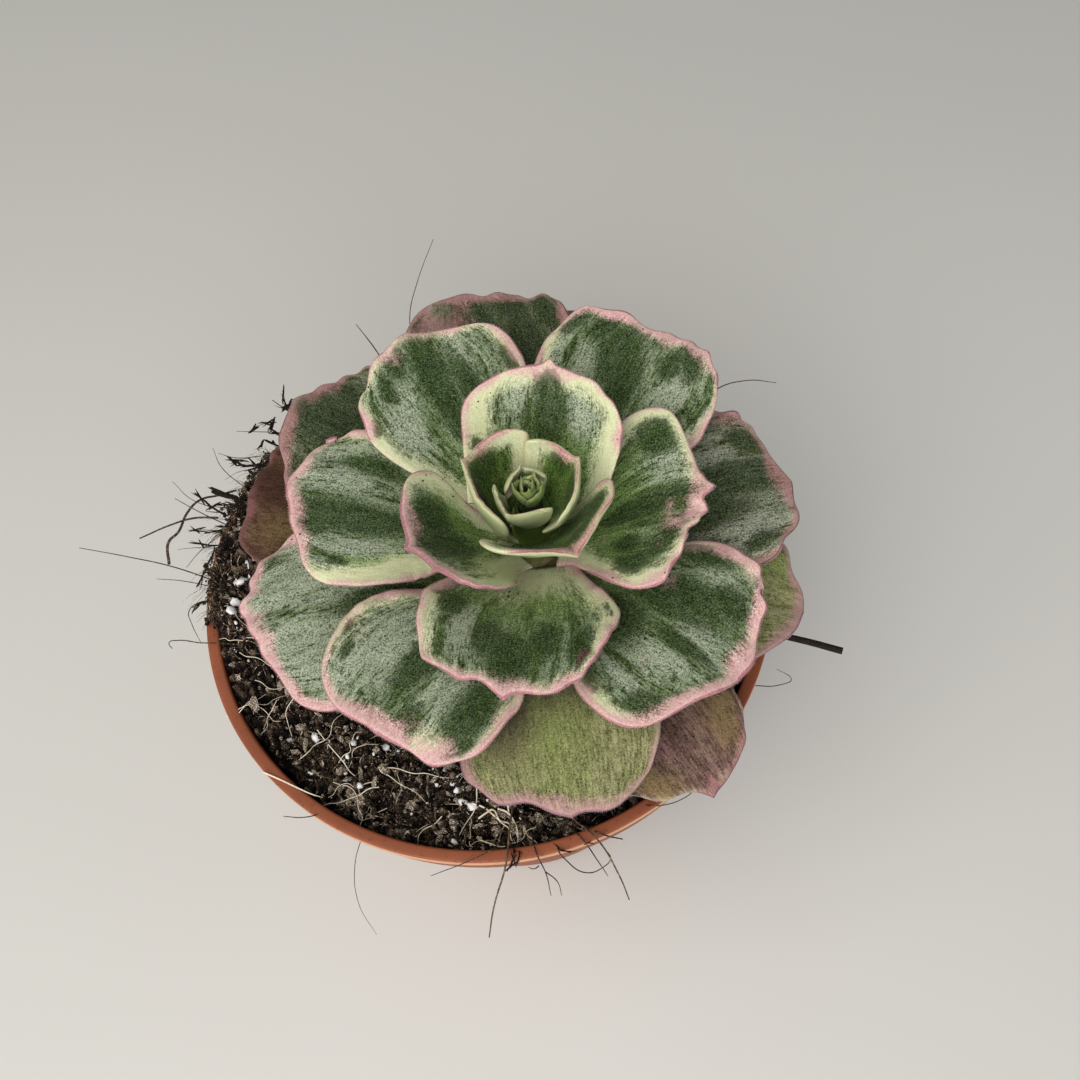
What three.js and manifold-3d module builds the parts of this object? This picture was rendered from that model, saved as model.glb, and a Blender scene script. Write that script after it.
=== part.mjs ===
// A potted aeonium: a rosette of velvety variegated leaves on a short stem, in a round plastic nursery pot.
// Millimetres, +Z up. The origin is the centre of the flat underside of the pot.

import * as THREE from 'three';
import { mergeVertices } from 'three/addons/utils/BufferGeometryUtils.js';
import Module from 'manifold-3d';

const wasm = await Module();
wasm.setup();

// Driving dimensions of the pot
const POT_HEIGHT = 92;
const RIM_RADIUS = 60;
const LIP_WIDTH = 1.8;
const COLLAR_HEIGHT = 11;
const COLLAR_STEP = 3.6;
const BASE_RADIUS = 42;
const WALL = 1.6;
const POT_SIDES = 40;
const DRAIN_COUNT = 6;
const DRAIN_RADIUS = 4;
const DRAIN_CIRCLE = 27;

// Driving dimensions of the planting; heights with "ABOVE" are counted from the rim
const GAP = 0.3;
const AXIS = new THREE.Vector2(11, 1);
const SOIL_DROP = 6.5;
const SOIL_HEAP = 11;
const HEAP_TURN = 163;
const STEM_RADIUS = 6.4;
const STEM_TAPER = 0.13;
const STEM_TOP_ABOVE = 24.6;
const STEM_DEPTH = 9;
const BUD_TOP_ABOVE = 33;
const GOLDEN_TURN = 137.5;

// Shape shared by all leaves
const CORNER = THREE.MathUtils.degToRad(52);
const MUCRO = 1.4;
const EDGE_THICKNESS = 0.8;

// One row for each large leaf, from the youngest, inside, to the oldest, outside. turn is the direction of
// the tip in degrees, reach its distance from the stem's axis, above its height over the rim, and root the
// height over the rim where the leaf leaves the stem. leave and end are the slopes of the midrib in degrees,
// neck the width of the base as a share of the leaf's width, and peak how far along the leaf is widest.
// blunt is 1 for an oval end and less for a broader one, and keel is how far the midrib sinks at the tip.
const COLUMNS = ['turn', 'reach', 'above', 'width', 'root', 'leave', 'end', 'neck', 'peak', 'blunt', 'keel'];
const LEAVES = [
  [104, 5, 32.5, 12, 27, 70, 82, 0.8, 0.66, 1.3, 0],
  [238, 7.5, 33.5, 17, 24.6, 64, 78, 0.8, 0.66, 1.4, 0.5],
  [14, 10.5, 35, 22, 22.2, 58, 72, 0.75, 0.66, 1.3, 1],
  [162, 12, 36.5, 26, 19.8, 54, 68, 0.7, 0.66, 1.3, 1],
  [294, 18, 35.5, 31, 17.4, 48, 58, 0.62, 0.66, 1.2, 1],
  [74, 24, 37, 34, 15.2, 42, 58, 0.5, 0.66, 1, 0],
  [206, 24.5, 33.5, 33, 13, 38, 46, 0.45, 0.66, 0.8, 0],
  [352, 32, 32, 39, 11, 37, 28, 0.38, 0.66, 0.8, 0],
  [118, 44.5, 31, 36, 9.8, 34, 22, 0.3, 0.66, 0.75, 0],
  [258, 39, 28.5, 38, 8.8, 36, 14, 0.28, 0.56, 0.95, 0.4],
  [50, 48.5, 28, 40, 7.9, 31, 12, 0.25, 0.66, 0.75, 0],
  [171, 47, 26, 35, 7, 30, 8, 0.24, 0.66, 0.75, 0],
  [311, 50, 21, 42, 6.2, 29, 2, 0.23, 0.66, 0.8, 0.4],
  [97, 58, 21.5, 39, 5.4, 27, 2, 0.22, 0.66, 0.75, 0],
  [231, 52, 19, 39, 4.6, 25, -4, 0.22, 0.66, 0.75, 0.4],
  [4, 52, 17, 38, 3.8, 24, -6, 0.22, 0.66, 0.75, 0],
  [144, 59, 17, 41, 3, 22, -4, 0.22, 0.66, 0.75, 0],
  [271, 56, 11, 38, 2.3, 20, -8, 0.22, 0.66, 0.75, 0.4],
  [81, 60, 13, 36, 1.6, 19, -6, 0.22, 0.66, 0.75, 0],
  [197, 59, 12, 37, 0.9, 18, -6, 0.22, 0.66, 0.75, 0],
  [338, 54.5, 8, 34, 0.2, 16, -8, 0.22, 0.66, 0.9, 0.8],
  [297, 59, 4.5, 33, -1.4, 14, -10, 0.22, 0.66, 0.8, 0.6],
  [163, 62, 7, 34, -1.2, 14, -8, 0.22, 0.66, 0.8, 0.6],
  [28, 50, 6, 32, -1.8, 12, -8, 0.22, 0.66, 0.8, 0.6],
  [123, 52, 2.5, 30, -3.2, 12, -8, 0.22, 0.66, 0.8, 0.6],
].map((row) => Object.fromEntries(row.map((value, k) => [COLUMNS[k], value])));

const material = (color, roughness) => new THREE.MeshStandardMaterial({ color, roughness, metalness: 0 });
const FINISH = {
  pot: material('#a9583c', 0.45),
  soil: material('#2a211c', 0.95),
  stem: material('#8a8a5c', 0.7),
  young: material('#a9b98c', 0.75),
  grown: material('#5f7a5a', 0.8),
  old: material('#7f7a50', 0.8),
  root: material('#c2ae7e', 0.85),
  twig: material('#2e231d', 0.85),
};

const plant = new THREE.Group();
const rad = THREE.MathUtils.degToRad;
const aboveRim = (height) => POT_HEIGHT + height;

function addPiece(name, geometry, finish) {
  const mesh = new THREE.Mesh(geometry, finish);
  mesh.name = name;
  plant.add(mesh);
}

// A closed mesh whose shared points are merged, as a solid that can be joined and cut
function solidOf(geometry) {
  const bare = geometry.clone();
  bare.deleteAttribute('normal');
  bare.deleteAttribute('uv');
  const merged = mergeVertices(bare, 1e-4);
  const vertProperties = new Float32Array(merged.attributes.position.array);
  const triVerts = new Uint32Array(merged.index.array);
  return new wasm.Manifold(new wasm.Mesh({ numProp: 3, vertProperties, triVerts }));
}

function geometryOf(solid) {
  const mesh = solid.getMesh();
  const geometry = new THREE.BufferGeometry();
  geometry.setAttribute('position', new THREE.BufferAttribute(new Float32Array(mesh.vertProperties), 3));
  geometry.setIndex(new THREE.BufferAttribute(new Uint32Array(mesh.triVerts), 1));
  geometry.computeVertexNormals();
  return geometry;
}

function lathe(points, sides) {
  const profile = points.map(([radius, height]) => new THREE.Vector2(radius, height));
  return new THREE.LatheGeometry(profile, sides).rotateX(Math.PI / 2);
}

// Pot

// Inside radius of the pot at a height over its underside
function innerRadius(height) {
  const step = POT_HEIGHT - COLLAR_HEIGHT;
  if (height >= step) return RIM_RADIUS - LIP_WIDTH - 0.8;
  const underCollar = RIM_RADIUS - COLLAR_STEP - WALL;
  return THREE.MathUtils.mapLinear(height, 0, step, BASE_RADIUS - WALL, underCollar);
}

function makePot() {
  const step = POT_HEIGHT - COLLAR_HEIGHT;
  const outer = (height) => innerRadius(height) + WALL;
  const collar = RIM_RADIUS - 0.8;
  const profile = [
    [0, 0], [BASE_RADIUS - 2.5, 0], [BASE_RADIUS, 2], [outer(step * 0.5), step * 0.5],
    [outer(step - 2), step - 2], [collar - 0.6, step], [collar, POT_HEIGHT - 2.4],
    [RIM_RADIUS, POT_HEIGHT - 1.8], [RIM_RADIUS, POT_HEIGHT - 0.6], [RIM_RADIUS - 0.5, POT_HEIGHT],
    [RIM_RADIUS - LIP_WIDTH + 0.3, POT_HEIGHT], [innerRadius(POT_HEIGHT), POT_HEIGHT - 1],
    [innerRadius(POT_HEIGHT), step + 1.5], [innerRadius(step - 1), step - 0.5],
    [innerRadius(step * 0.5), step * 0.5], [innerRadius(5), 5], [innerRadius(5) - 2, 2.4], [0, 2.4],
  ];
  let pot = solidOf(lathe(profile, POT_SIDES));
  for (let i = 0; i < DRAIN_COUNT; i += 1) {
    const turn = (i + 0.5) * 2 * Math.PI / DRAIN_COUNT;
    const drain = new THREE.CylinderGeometry(DRAIN_RADIUS, DRAIN_RADIUS, 12, 12).rotateX(Math.PI / 2);
    drain.translate(DRAIN_CIRCLE * Math.cos(turn), DRAIN_CIRCLE * Math.sin(turn), 0);
    pot = pot.subtract(solidOf(drain));
  }
  addPiece('pot', geometryOf(pot), FINISH.pot);
}

// Soil

const SOIL_SIDES = 40;
const SOIL_RINGS = 8;

// Height of the soil's surface: crumbly, a little domed, and heaped against the rim on one side
function soilHeight(x, y) {
  const radius = Math.hypot(x, y);
  const turn = THREE.MathUtils.radToDeg(Math.atan2(y, x));
  const away = Math.abs(THREE.MathUtils.euclideanModulo(turn - HEAP_TURN + 180, 360) - 180);
  const heap = SOIL_HEAP * Math.exp(-((away / 42) ** 2)) * THREE.MathUtils.smoothstep(radius, 20, 54);
  const dome = 2 * (1 - radius / RIM_RADIUS);
  const lumps = 0.9 * Math.sin(0.41 * x + 1.3) * Math.sin(0.37 * y + 0.4);
  const crumbs = 0.5 * Math.sin(0.83 * x - 0.71 * y);
  return aboveRim(-SOIL_DROP) + dome + heap + lumps + crumbs;
}

function soilBody() {
  const top = innerRadius(POT_HEIGHT) - GAP;
  const step = POT_HEIGHT - COLLAR_HEIGHT;
  const positions = [];
  const indices = [];
  const side = [
    [innerRadius(5) - 2 - 2 * GAP, 2.4 + GAP], [innerRadius(6) - GAP, 6],
    [innerRadius(step - 1) - GAP, step - 0.5], [top, step + 2.2],
  ];
  const rings = [];
  const addRing = (point) => {
    const ring = [];
    for (let i = 0; i < SOIL_SIDES; i += 1) {
      ring.push(positions.length / 3);
      positions.push(...point(2 * Math.PI * i / SOIL_SIDES));
    }
    rings.push(ring);
  };
  for (const [radius, height] of side) {
    addRing((turn) => [radius * Math.cos(turn), radius * Math.sin(turn), height]);
  }
  for (let k = 0; k < SOIL_RINGS; k += 1) {
    const radius = top * (1 - k / SOIL_RINGS);
    addRing((turn) => {
      const x = radius * Math.cos(turn);
      const y = radius * Math.sin(turn);
      return [x, y, soilHeight(x, y)];
    });
  }
  for (let k = 0; k + 1 < rings.length; k += 1) {
    for (let i = 0; i < SOIL_SIDES; i += 1) {
      const j = (i + 1) % SOIL_SIDES;
      indices.push(rings[k][i], rings[k][j], rings[k + 1][j]);
      indices.push(rings[k][i], rings[k + 1][j], rings[k + 1][i]);
    }
  }
  const bottom = positions.length / 3;
  positions.push(0, 0, 2.4 + GAP);
  const middle = positions.length / 3;
  positions.push(0, 0, soilHeight(0, 0));
  for (let i = 0; i < SOIL_SIDES; i += 1) {
    const j = (i + 1) % SOIL_SIDES;
    indices.push(bottom, rings[0][j], rings[0][i]);
    indices.push(middle, rings[rings.length - 1][i], rings[rings.length - 1][j]);
  }
  const geometry = new THREE.BufferGeometry();
  geometry.setAttribute('position', new THREE.Float32BufferAttribute(positions, 3));
  geometry.setIndex(indices);
  return geometry;
}

// A crumb or grain: a small eight-sided lump, sunk into the surface that it lies on
function lump(radius, x, y, z) {
  const grain = new THREE.OctahedronGeometry(radius, 0);
  grain.rotateZ(x);
  grain.rotateX(y);
  return grain.translate(x, y, z);
}

// A rough crumb of peat: a rounded lump whose corners are pushed in and out
function crumb(size, turn) {
  const lumpy = new THREE.IcosahedronGeometry(size, 1).rotateZ(turn).scale(1.4, 1.2, 1);
  const spots = lumpy.attributes.position;
  const spot = new THREE.Vector3();
  for (let i = 0; i < spots.count; i += 1) {
    spot.fromBufferAttribute(spots, i);
    const dents = Math.sin(1.9 * spot.x + turn) * Math.sin(1.6 * spot.y + 0.5);
    spot.multiplyScalar(1 - 0.16 * Math.abs(dents + 0.7 * Math.sin(2.3 * spot.z + turn)));
    spots.setXYZ(i, spot.x, spot.y, spot.z);
  }
  return lumpy;
}

const CLUMP_COUNT = 9;
const GRAIN_COUNT = 21;
const GRAIN_FIRST_SIDE = 21;
const GRAIN_SIDES = 13;

function makeSoil() {
  let soil = solidOf(soilBody());
  // Clumps of peat that have spilled over the rim beside the heap
  for (let i = 0; i < CLUMP_COUNT; i += 1) {
    const turn = rad(HEAP_TURN - 20 + 5 * i);
    const size = 3 + 0.9 * Math.sin(2.1 * i);
    const radius = RIM_RADIUS - 3.6 + 0.9 * Math.sin(4.3 * i);
    const clump = crumb(size, 1.7 * i);
    clump.translate(radius * Math.cos(turn), radius * Math.sin(turn), aboveRim(GAP) + 0.97 * size);
    soil = soil.add(solidOf(clump));
  }
  // White perlite grains, spread by the golden turn over the open soil
  for (let i = 0; i < GRAIN_COUNT; i += 1) {
    const turn = 2 * Math.PI * (GRAIN_FIRST_SIDE + i * 5 % GRAIN_SIDES) / SOIL_SIDES;
    const radius = (innerRadius(POT_HEIGHT) - GAP) * (1 - (1 + i % 3) / SOIL_RINGS);
    const x = radius * Math.cos(turn);
    const y = radius * Math.sin(turn);
    soil = soil.add(solidOf(lump(1.2 + 0.3 * Math.sin(i), x, y, soilHeight(x, y) + 0.3)));
  }
  const hole = new THREE.CylinderGeometry(STEM_RADIUS + 1.4, STEM_RADIUS + 1.4, 30, 16).rotateX(Math.PI / 2);
  hole.translate(AXIS.x, AXIS.y, aboveRim(-STEM_DEPTH - 2 * GAP) + 15 - SOIL_DROP);
  addPiece('soil', geometryOf(soil.subtract(solidOf(hole))), FINISH.soil);
}

// Stem

// Radius of the stem at a height over the rim
function stemRadius(above) {
  return STEM_RADIUS - STEM_TAPER * Math.max(above, 0);
}

function makeStem() {
  const bottom = -STEM_DEPTH - SOIL_DROP;
  const profile = [[0, bottom], [STEM_RADIUS, bottom], [STEM_RADIUS + 0.3, -SOIL_DROP], [STEM_RADIUS, 0]];
  for (const above of [6, 12, 18, STEM_TOP_ABOVE]) {
    profile.push([stemRadius(above), above]);
  }
  profile.push([0, STEM_TOP_ABOVE]);
  const stem = lathe(profile, 18).translate(AXIS.x, AXIS.y, POT_HEIGHT);
  addPiece('stem', stem, FINISH.stem);
}

// Leaves

// Half the width of the flat leaf at a distance along it: narrow base, widest past the middle, round end
function halfWidth(along, length, leaf) {
  const half = leaf.width / 2;
  const peak = leaf.peak * length;
  if (along < peak) {
    const swell = Math.sin(Math.PI / 2 * (along / peak) ** 1.25) ** 1.5;
    return half * (leaf.neck + (1 - leaf.neck) * swell);
  }
  const end = Math.min((along - peak) / (length - peak), 1);
  return half * Math.sin(Math.acos(end ** (1 / leaf.blunt)));
}

// Thickness of the leaf: fleshy along the midrib, thin at the margin and the tip
function thickness(u, v, leaf) {
  const fleshy = 0.5 + 0.042 * leaf.width;
  const bulge = (1 - Math.abs(v) ** 2.2) * (1 - 0.75 * u ** 4);
  return EDGE_THICKNESS + Math.max(fleshy - EDGE_THICKNESS, 0) * bulge;
}

// Middle surface of a leaf, as rows of points from its base to its tip. The leaf is laid out flat, then
// wrapped round the stem's axis on the cone that its midrib has there, so that old leaves hold young ones.
function leafSheet(leaf, index, rows, columns) {
  const slope = (degrees) => new THREE.Vector2(Math.cos(rad(degrees)), Math.sin(rad(degrees)));
  const lean = 0.5 * thickness(0, 0, leaf) * Math.sin(rad(leaf.leave));
  const seat = leaf.seat ?? stemRadius(leaf.root) + GAP + 0.1 + lean;
  const root = new THREE.Vector2(seat, leaf.root);
  const tip = new THREE.Vector2(leaf.reach, leaf.above);
  const handle = 0.36 * root.distanceTo(tip);
  const first = root.clone().addScaledVector(slope(leaf.leave), handle);
  const second = tip.clone().addScaledVector(slope(leaf.end), -handle);
  const midrib = new THREE.CubicBezierCurve(root, first, second, tip);
  const length = midrib.getLength();
  const peak = leaf.peak * length;
  const corner = peak + (length - peak) * Math.cos(CORNER) ** leaf.blunt;
  const cornerWidth = leaf.width / 2 * Math.sin(CORNER);
  const phase = rad(GOLDEN_TURN) * index;
  const sheet = [];
  for (let i = 0; i <= rows; i += 1) {
    const u = i / rows;
    const row = [];
    for (let j = 0; j <= columns; j += 1) {
      const v = 2 * j / columns - 1;
      const end = peak + (length - peak) * Math.cos(v * CORNER) ** leaf.blunt;
      const arc = leaf.width / 2 * Math.sin(v * CORNER) - v * cornerWidth;
      let along = u * (end + MUCRO * Math.exp(-((v / 0.1) ** 2)));
      let across = v * halfWidth(u * corner, length, leaf) + u * arc;
      const edge = Math.max(v ** 4, u ** 5);
      const round = Math.atan2(across, along - 0.45 * length);
      const scallop = 1 + 0.02 * edge * u * Math.sin(6 * round + 2 * phase);
      along *= scallop;
      across *= scallop;
      const share = Math.min(along / length, 1);
      const place = midrib.getPointAt(share);
      const heading = midrib.getTangentAt(share);
      place.addScaledVector(heading, Math.max(along - length, 0));
      const flat = Math.max(heading.x, 0.05);
      const radius = Math.hypot(place.x, flat * across);
      const turn = rad(leaf.turn) + Math.atan2(flat * across, place.x) / flat;
      const height = place.y + (radius - place.x) * heading.y / flat;
      const wave = Math.sin(5 * round + phase) + 0.6 * Math.sin(8 * round + 2.3 * phase);
      const point = new THREE.Vector3(radius * Math.cos(turn), radius * Math.sin(turn), aboveRim(height));
      point.x += AXIS.x;
      point.y += AXIS.y;
      const lift = 0.022 * leaf.width * edge * u * wave - leaf.keel * (1 - Math.abs(v)) * u * u;
      row.push({ point, lift, u, v });
    }
    sheet.push(row);
  }
  return sheet;
}

function sheetNormal(sheet, i, j) {
  const rows = sheet.length - 1;
  const columns = sheet[0].length - 1;
  const ahead = sheet[Math.min(i + 1, rows)][j].point.clone().sub(sheet[Math.max(i - 1, 0)][j].point);
  const beside = sheet[i][Math.min(j + 1, columns)].point.clone().sub(sheet[i][Math.max(j - 1, 0)].point);
  return ahead.cross(beside).normalize();
}

// Closed blade: the middle surface raised and lowered by half the thickness, with a wall round the margin
function leafGeometry(leaf, index, rows, columns) {
  const sheet = leafSheet(leaf, index, rows, columns);
  const normals = sheet.map((row, i) => row.map((_, j) => sheetNormal(sheet, i, j)));
  sheet.forEach((row, i) => row.forEach((spot, j) => spot.point.addScaledVector(normals[i][j], spot.lift)));
  const positions = [];
  for (const face of [1, -1]) {
    sheet.forEach((row, i) => row.forEach((spot, j) => {
      const half = 0.5 * face * thickness(spot.u, spot.v, leaf);
      const point = spot.point.clone().addScaledVector(sheetNormal(sheet, i, j), half);
      positions.push(point.x, point.y, point.z);
    }));
  }
  const across = columns + 1;
  const under = (rows + 1) * across;
  const at = (i, j) => i * across + j;
  const indices = [];
  for (let i = 0; i < rows; i += 1) {
    for (let j = 0; j < columns; j += 1) {
      const corners = [at(i, j), at(i + 1, j), at(i + 1, j + 1), at(i, j + 1)];
      const [a, b, c, d] = corners;
      indices.push(a, b, c, a, c, d);
      indices.push(under + a, under + c, under + b, under + a, under + d, under + c);
    }
  }
  const rim = [];
  for (let i = 0; i < rows; i += 1) rim.push(at(i, 0));
  for (let j = 0; j < columns; j += 1) rim.push(at(rows, j));
  for (let i = rows; i > 0; i -= 1) rim.push(at(i, columns));
  for (let j = columns; j > 0; j -= 1) rim.push(at(0, j));
  rim.forEach((p, k) => {
    const q = rim[(k + 1) % rim.length];
    indices.push(q, p, under + p, q, under + p, under + q);
  });
  const geometry = new THREE.BufferGeometry();
  geometry.setAttribute('position', new THREE.Float32BufferAttribute(positions, 3));
  geometry.setIndex(indices);
  geometry.computeVertexNormals();
  return geometry;
}

const YOUNG_LEAVES = 5;
const OLD_LEAVES = 17;

function makeLeaves() {
  LEAVES.forEach((leaf, index) => {
    const small = index < YOUNG_LEAVES || index > 22;
    const finish = index < YOUNG_LEAVES ? FINISH.young : index < OLD_LEAVES ? FINISH.grown : FINISH.old;
    const geometry = small ? leafGeometry(leaf, index, 8, 6) : leafGeometry(leaf, index, 10, 8);
    addPiece(`leaf_${String(index + 1).padStart(2, '0')}`, geometry, finish);
  });
}

// Bud

const BUD_LEAVES = 6;

// The tight whorl at the growing tip: small scoop-shaped leaves on a tapering core, grown as one
function makeBud() {
  const bottom = STEM_TOP_ABOVE + GAP;
  const top = BUD_TOP_ABOVE - 2;
  const core = [[0, bottom], [2.5, bottom], [2.3, bottom + 3], [1.5, top - 1], [0, top]];
  let bud = solidOf(lathe(core, 10).translate(AXIS.x, AXIS.y, POT_HEIGHT));
  for (let k = 1; k <= BUD_LEAVES; k += 1) {
    const leaf = {
      turn: LEAVES[0].turn - GOLDEN_TURN * k,
      reach: 3.3 - 0.4 * k,
      above: BUD_TOP_ABOVE - 0.1 * k,
      width: 7.2 - 0.7 * k,
      root: 26.4 + 0.5 * k,
      seat: 1.6 - 0.12 * k,
      leave: 74,
      end: 86,
      neck: 0.8,
      peak: 0.66,
      blunt: 1.2,
      keel: 0,
    };
    bud = bud.add(solidOf(leafGeometry(leaf, k, 5, 4)));
  }
  addPiece('bud', geometryOf(bud), FINISH.young);
}

// Loose roots and a twig, which lie on the soil and hang over the rim

const LITTER = [
  { name: 'root_left_curl', width: 1, finish: FINISH.root, route: [
    [-52, 28, 5.9], [-57, 26.5, 6], [-62.5, 22.5, 5], [-66.5, 17, 2.5], [-68, 13, -1]] },
  { name: 'root_left_long', width: 0.9, finish: FINISH.root, route: [
    [-56, 17.5, 7], [-61, 18, 7.1], [-66, 17.8, 6], [-74, 16.5, 3.8]] },
  { name: 'root_front_left', width: 0.9, finish: FINISH.root, route: [
    [1, -48, -4.2], [0, -54.5, -0.4], [-1, -60.5, 1.2], [-4, -67, -2], [-6, -71.5, -9]] },
  { name: 'root_front_right', width: 0.9, finish: FINISH.root, route: [
    [8, -47, -4.2], [12.5, -53.5, -0.6], [16.6, -58.6, 1.6], [19.5, -64.5, -1], [21, -68, -7]] },
  { name: 'twig', width: 1.7, finish: FINISH.twig, route: [
    [46, -17, -3.2], [54, -20.5, 1.1], [62, -24, 2.4], [69, -27.5, 3.2]] },
];

const ROUTE_STEPS = 12;

function makeLitter() {
  for (const { name, width, finish, route } of LITTER) {
    const points = route.map(([x, y, above]) => new THREE.Vector3(x, y, aboveRim(above)));
    const path = new THREE.CatmullRomCurve3(points);
    const section = new THREE.Shape();
    for (let i = 0; i < 5; i += 1) {
      const turn = 2 * Math.PI * i / 5;
      const spot = [width / 2 * Math.cos(turn), width / 2 * Math.sin(turn)];
      if (i === 0) section.moveTo(...spot);
      else section.lineTo(...spot);
    }
    const tube = new THREE.ExtrudeGeometry(section, { steps: ROUTE_STEPS, extrudePath: path });
    addPiece(name, tube, finish);
  }
}

makePot();
makeSoil();
makeStem();
makeBud();
makeLeaves();
makeLitter();

export default plant;
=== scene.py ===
"""Dress the potted aeonium: fine leaves, crumbly soil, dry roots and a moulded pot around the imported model.

Lengths are in millimetres and angles in degrees until a mesh is made. The origin is the middle of the
underside of the pot, with +Z up, and heights called "above" are counted from the rim.
"""

import logging
import math
import random
from collections.abc import Callable, Iterable, Sequence
from dataclasses import dataclass, field, replace
from enum import Enum
from functools import cached_property

import bmesh
import bpy
import numpy as np
from mathutils import Euler, Matrix, Vector, noise


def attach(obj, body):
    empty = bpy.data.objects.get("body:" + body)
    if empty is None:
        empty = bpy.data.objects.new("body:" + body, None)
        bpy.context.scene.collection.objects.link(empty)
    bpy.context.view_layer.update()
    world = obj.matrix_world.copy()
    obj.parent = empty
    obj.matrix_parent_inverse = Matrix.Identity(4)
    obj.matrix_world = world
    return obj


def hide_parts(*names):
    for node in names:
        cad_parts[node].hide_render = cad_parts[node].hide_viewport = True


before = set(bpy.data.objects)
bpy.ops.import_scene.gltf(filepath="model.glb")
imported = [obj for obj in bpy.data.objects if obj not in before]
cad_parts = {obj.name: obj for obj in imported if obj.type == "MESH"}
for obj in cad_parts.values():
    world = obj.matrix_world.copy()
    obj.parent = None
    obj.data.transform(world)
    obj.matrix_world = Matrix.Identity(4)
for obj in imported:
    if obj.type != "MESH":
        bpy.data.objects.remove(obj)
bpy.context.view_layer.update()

LOG = logging.getLogger("potted_aeonium")
BODY = "root"

MM = 0.001
GOLDEN_TURN = 137.5
RIM_HEIGHT = 92.0
RIM_RADIUS = 60.0
PLANT_AXIS = (11.0, 1.0)
STEM_TOP = 24.6
STEM_RADIUS = 6.4
STEM_TAPER = 0.13
NODE_GAP = 0.3

Array = np.ndarray
Field = Array | float
Point = tuple[float, float, float]
Route = tuple[Point, ...]
Socket = bpy.types.NodeSocket


def linear(code: str) -> tuple[float, float, float, float]:
    """Turn an sRGB hex colour into a linear one.

    Args:
        code: Six hex digits after a hash sign.

    Returns:
        Red, green, blue and an alpha of 1.
    """
    shares = [int(code[k:k + 2], 16) / 255 for k in (1, 3, 5)]
    red, green, blue = (s / 12.92 if s <= 0.04045 else ((s + 0.055) / 1.055) ** 2.4 for s in shares)
    return red, green, blue, 1.0


def add_node(
    tree: bpy.types.NodeTree, kind: str, inputs: dict, take: int | str = 0, **settings: object
) -> Socket | None:
    """Add a node with its settings, values and links.

    Args:
        tree: The node tree that gets the node.
        kind: Type of the node, without the "ShaderNode" that each starts with.
        inputs: Values, hex colours or sockets to link from, by the name or number of the input.
        take: Name or number of the output that is handed back.
        **settings: Properties of the node itself.

    Returns:
        That output, or None for a node that has none.
    """
    node = tree.nodes.new(f"ShaderNode{kind}")
    for name, value in settings.items():
        setattr(node, name, value)
    for key, value in inputs.items():
        if isinstance(value, Socket):
            tree.links.new(value, node.inputs[key])
        else:
            node.inputs[key].default_value = linear(value) if isinstance(value, str) else value
    return node.outputs[take] if node.outputs else None


def smooth_share(value: Field, low: float, high: float) -> Field:
    """Ease from 0 at low to 1 at high."""
    share = np.clip((value - low) / (high - low), 0.0, 1.0)
    return share * share * (3.0 - 2.0 * share)


def tumbled(draw: random.Random) -> Matrix:
    """Draw a turn about all three axes."""
    return Euler([draw.uniform(0.0, math.tau) for _ in range(3)]).to_matrix().to_4x4()


def pointed(way: Vector) -> Matrix:
    """Turn that points the z axis along a way."""
    return way.to_track_quat("Z", "Y").to_matrix().to_4x4()


def placed(spot: Sequence[float], turn: Matrix, sizes: Sequence[float]) -> Matrix:
    """Place a shape that is first stretched and then turned."""
    return Matrix.Translation(spot) @ turn @ Matrix.Diagonal((*sizes, 1.0))


def dropped(
    draw: random.Random, spot: Sequence[float], size: float, width: tuple[float, float],
    height: tuple[float, float],
) -> Matrix:
    """Place a lump as it has dropped, turned any way.

    Args:
        draw: The random draw.
        spot: Where it lies.
        size: Its length.
        width: Least and most of its width, as a share of the length.
        height: Least and most of its height, as a share of the length.

    Returns:
        The matrix.
    """
    turn = tumbled(draw)
    return placed(spot, turn, (size, size * draw.uniform(*width), size * draw.uniform(*height)))


def jolt(draw: random.Random, spread: float) -> Vector:
    """Draw a small offset to any side."""
    return Vector([draw.gauss(0.0, spread) for _ in range(3)])


def baked(bm: bmesh.types.BMesh) -> bpy.types.Mesh:
    """Turn a bmesh in millimetres into a mesh in metres, with its normals recalculated, and free it.

    On most of the leaves, which are thin and closed, the recalculated faces point inwards.

    Args:
        bm: The bmesh.

    Returns:
        The mesh.
    """
    bmesh.ops.recalc_face_normals(bm, faces=bm.faces[:])
    bmesh.ops.scale(bm, vec=(MM, MM, MM), verts=bm.verts[:])
    mesh = bpy.data.meshes.new("piece")
    bm.to_mesh(mesh)
    bm.free()
    return mesh


def spun(profile: Sequence[tuple[float, float]], steps: int) -> bmesh.types.BMesh:
    """Spin a profile that starts and ends on the axis into a closed solid.

    Args:
        profile: Radius and height of each point.
        steps: Sides of the solid.

    Returns:
        The solid, in millimetres.
    """
    bm = bmesh.new()
    spots = [bm.verts.new((radius, 0.0, height)) for radius, height in profile]
    edges = [bm.edges.new(pair) for pair in zip(spots, spots[1:])]
    bmesh.ops.spin(
        bm, geom=spots + edges, cent=(0.0, 0.0, 0.0), axis=(0.0, 0.0, 1.0), angle=math.tau, steps=steps,
        use_merge=True,
    )
    bmesh.ops.remove_doubles(bm, verts=bm.verts[:], dist=1e-4)
    bmesh.ops.recalc_face_normals(bm, faces=bm.faces[:])
    return bm


def crumb_shape(seed: int, fineness: int) -> bmesh.types.BMesh:
    """Make a rough lump of about unit radius.

    Args:
        seed: Which lump, from 0.
        fineness: 1 for 20 faces and 2 for 80.

    Returns:
        The lump.
    """
    bm = bmesh.new()
    bmesh.ops.create_icosphere(bm, subdivisions=fineness, radius=1.0)
    for vert in bm.verts:
        dent = noise.noise(vert.co * 1.1 + Vector((seed * 3.7, 1.3, 0.2)))
        vert.co *= 1.0 + 0.75 * dent
    return bm


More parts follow.
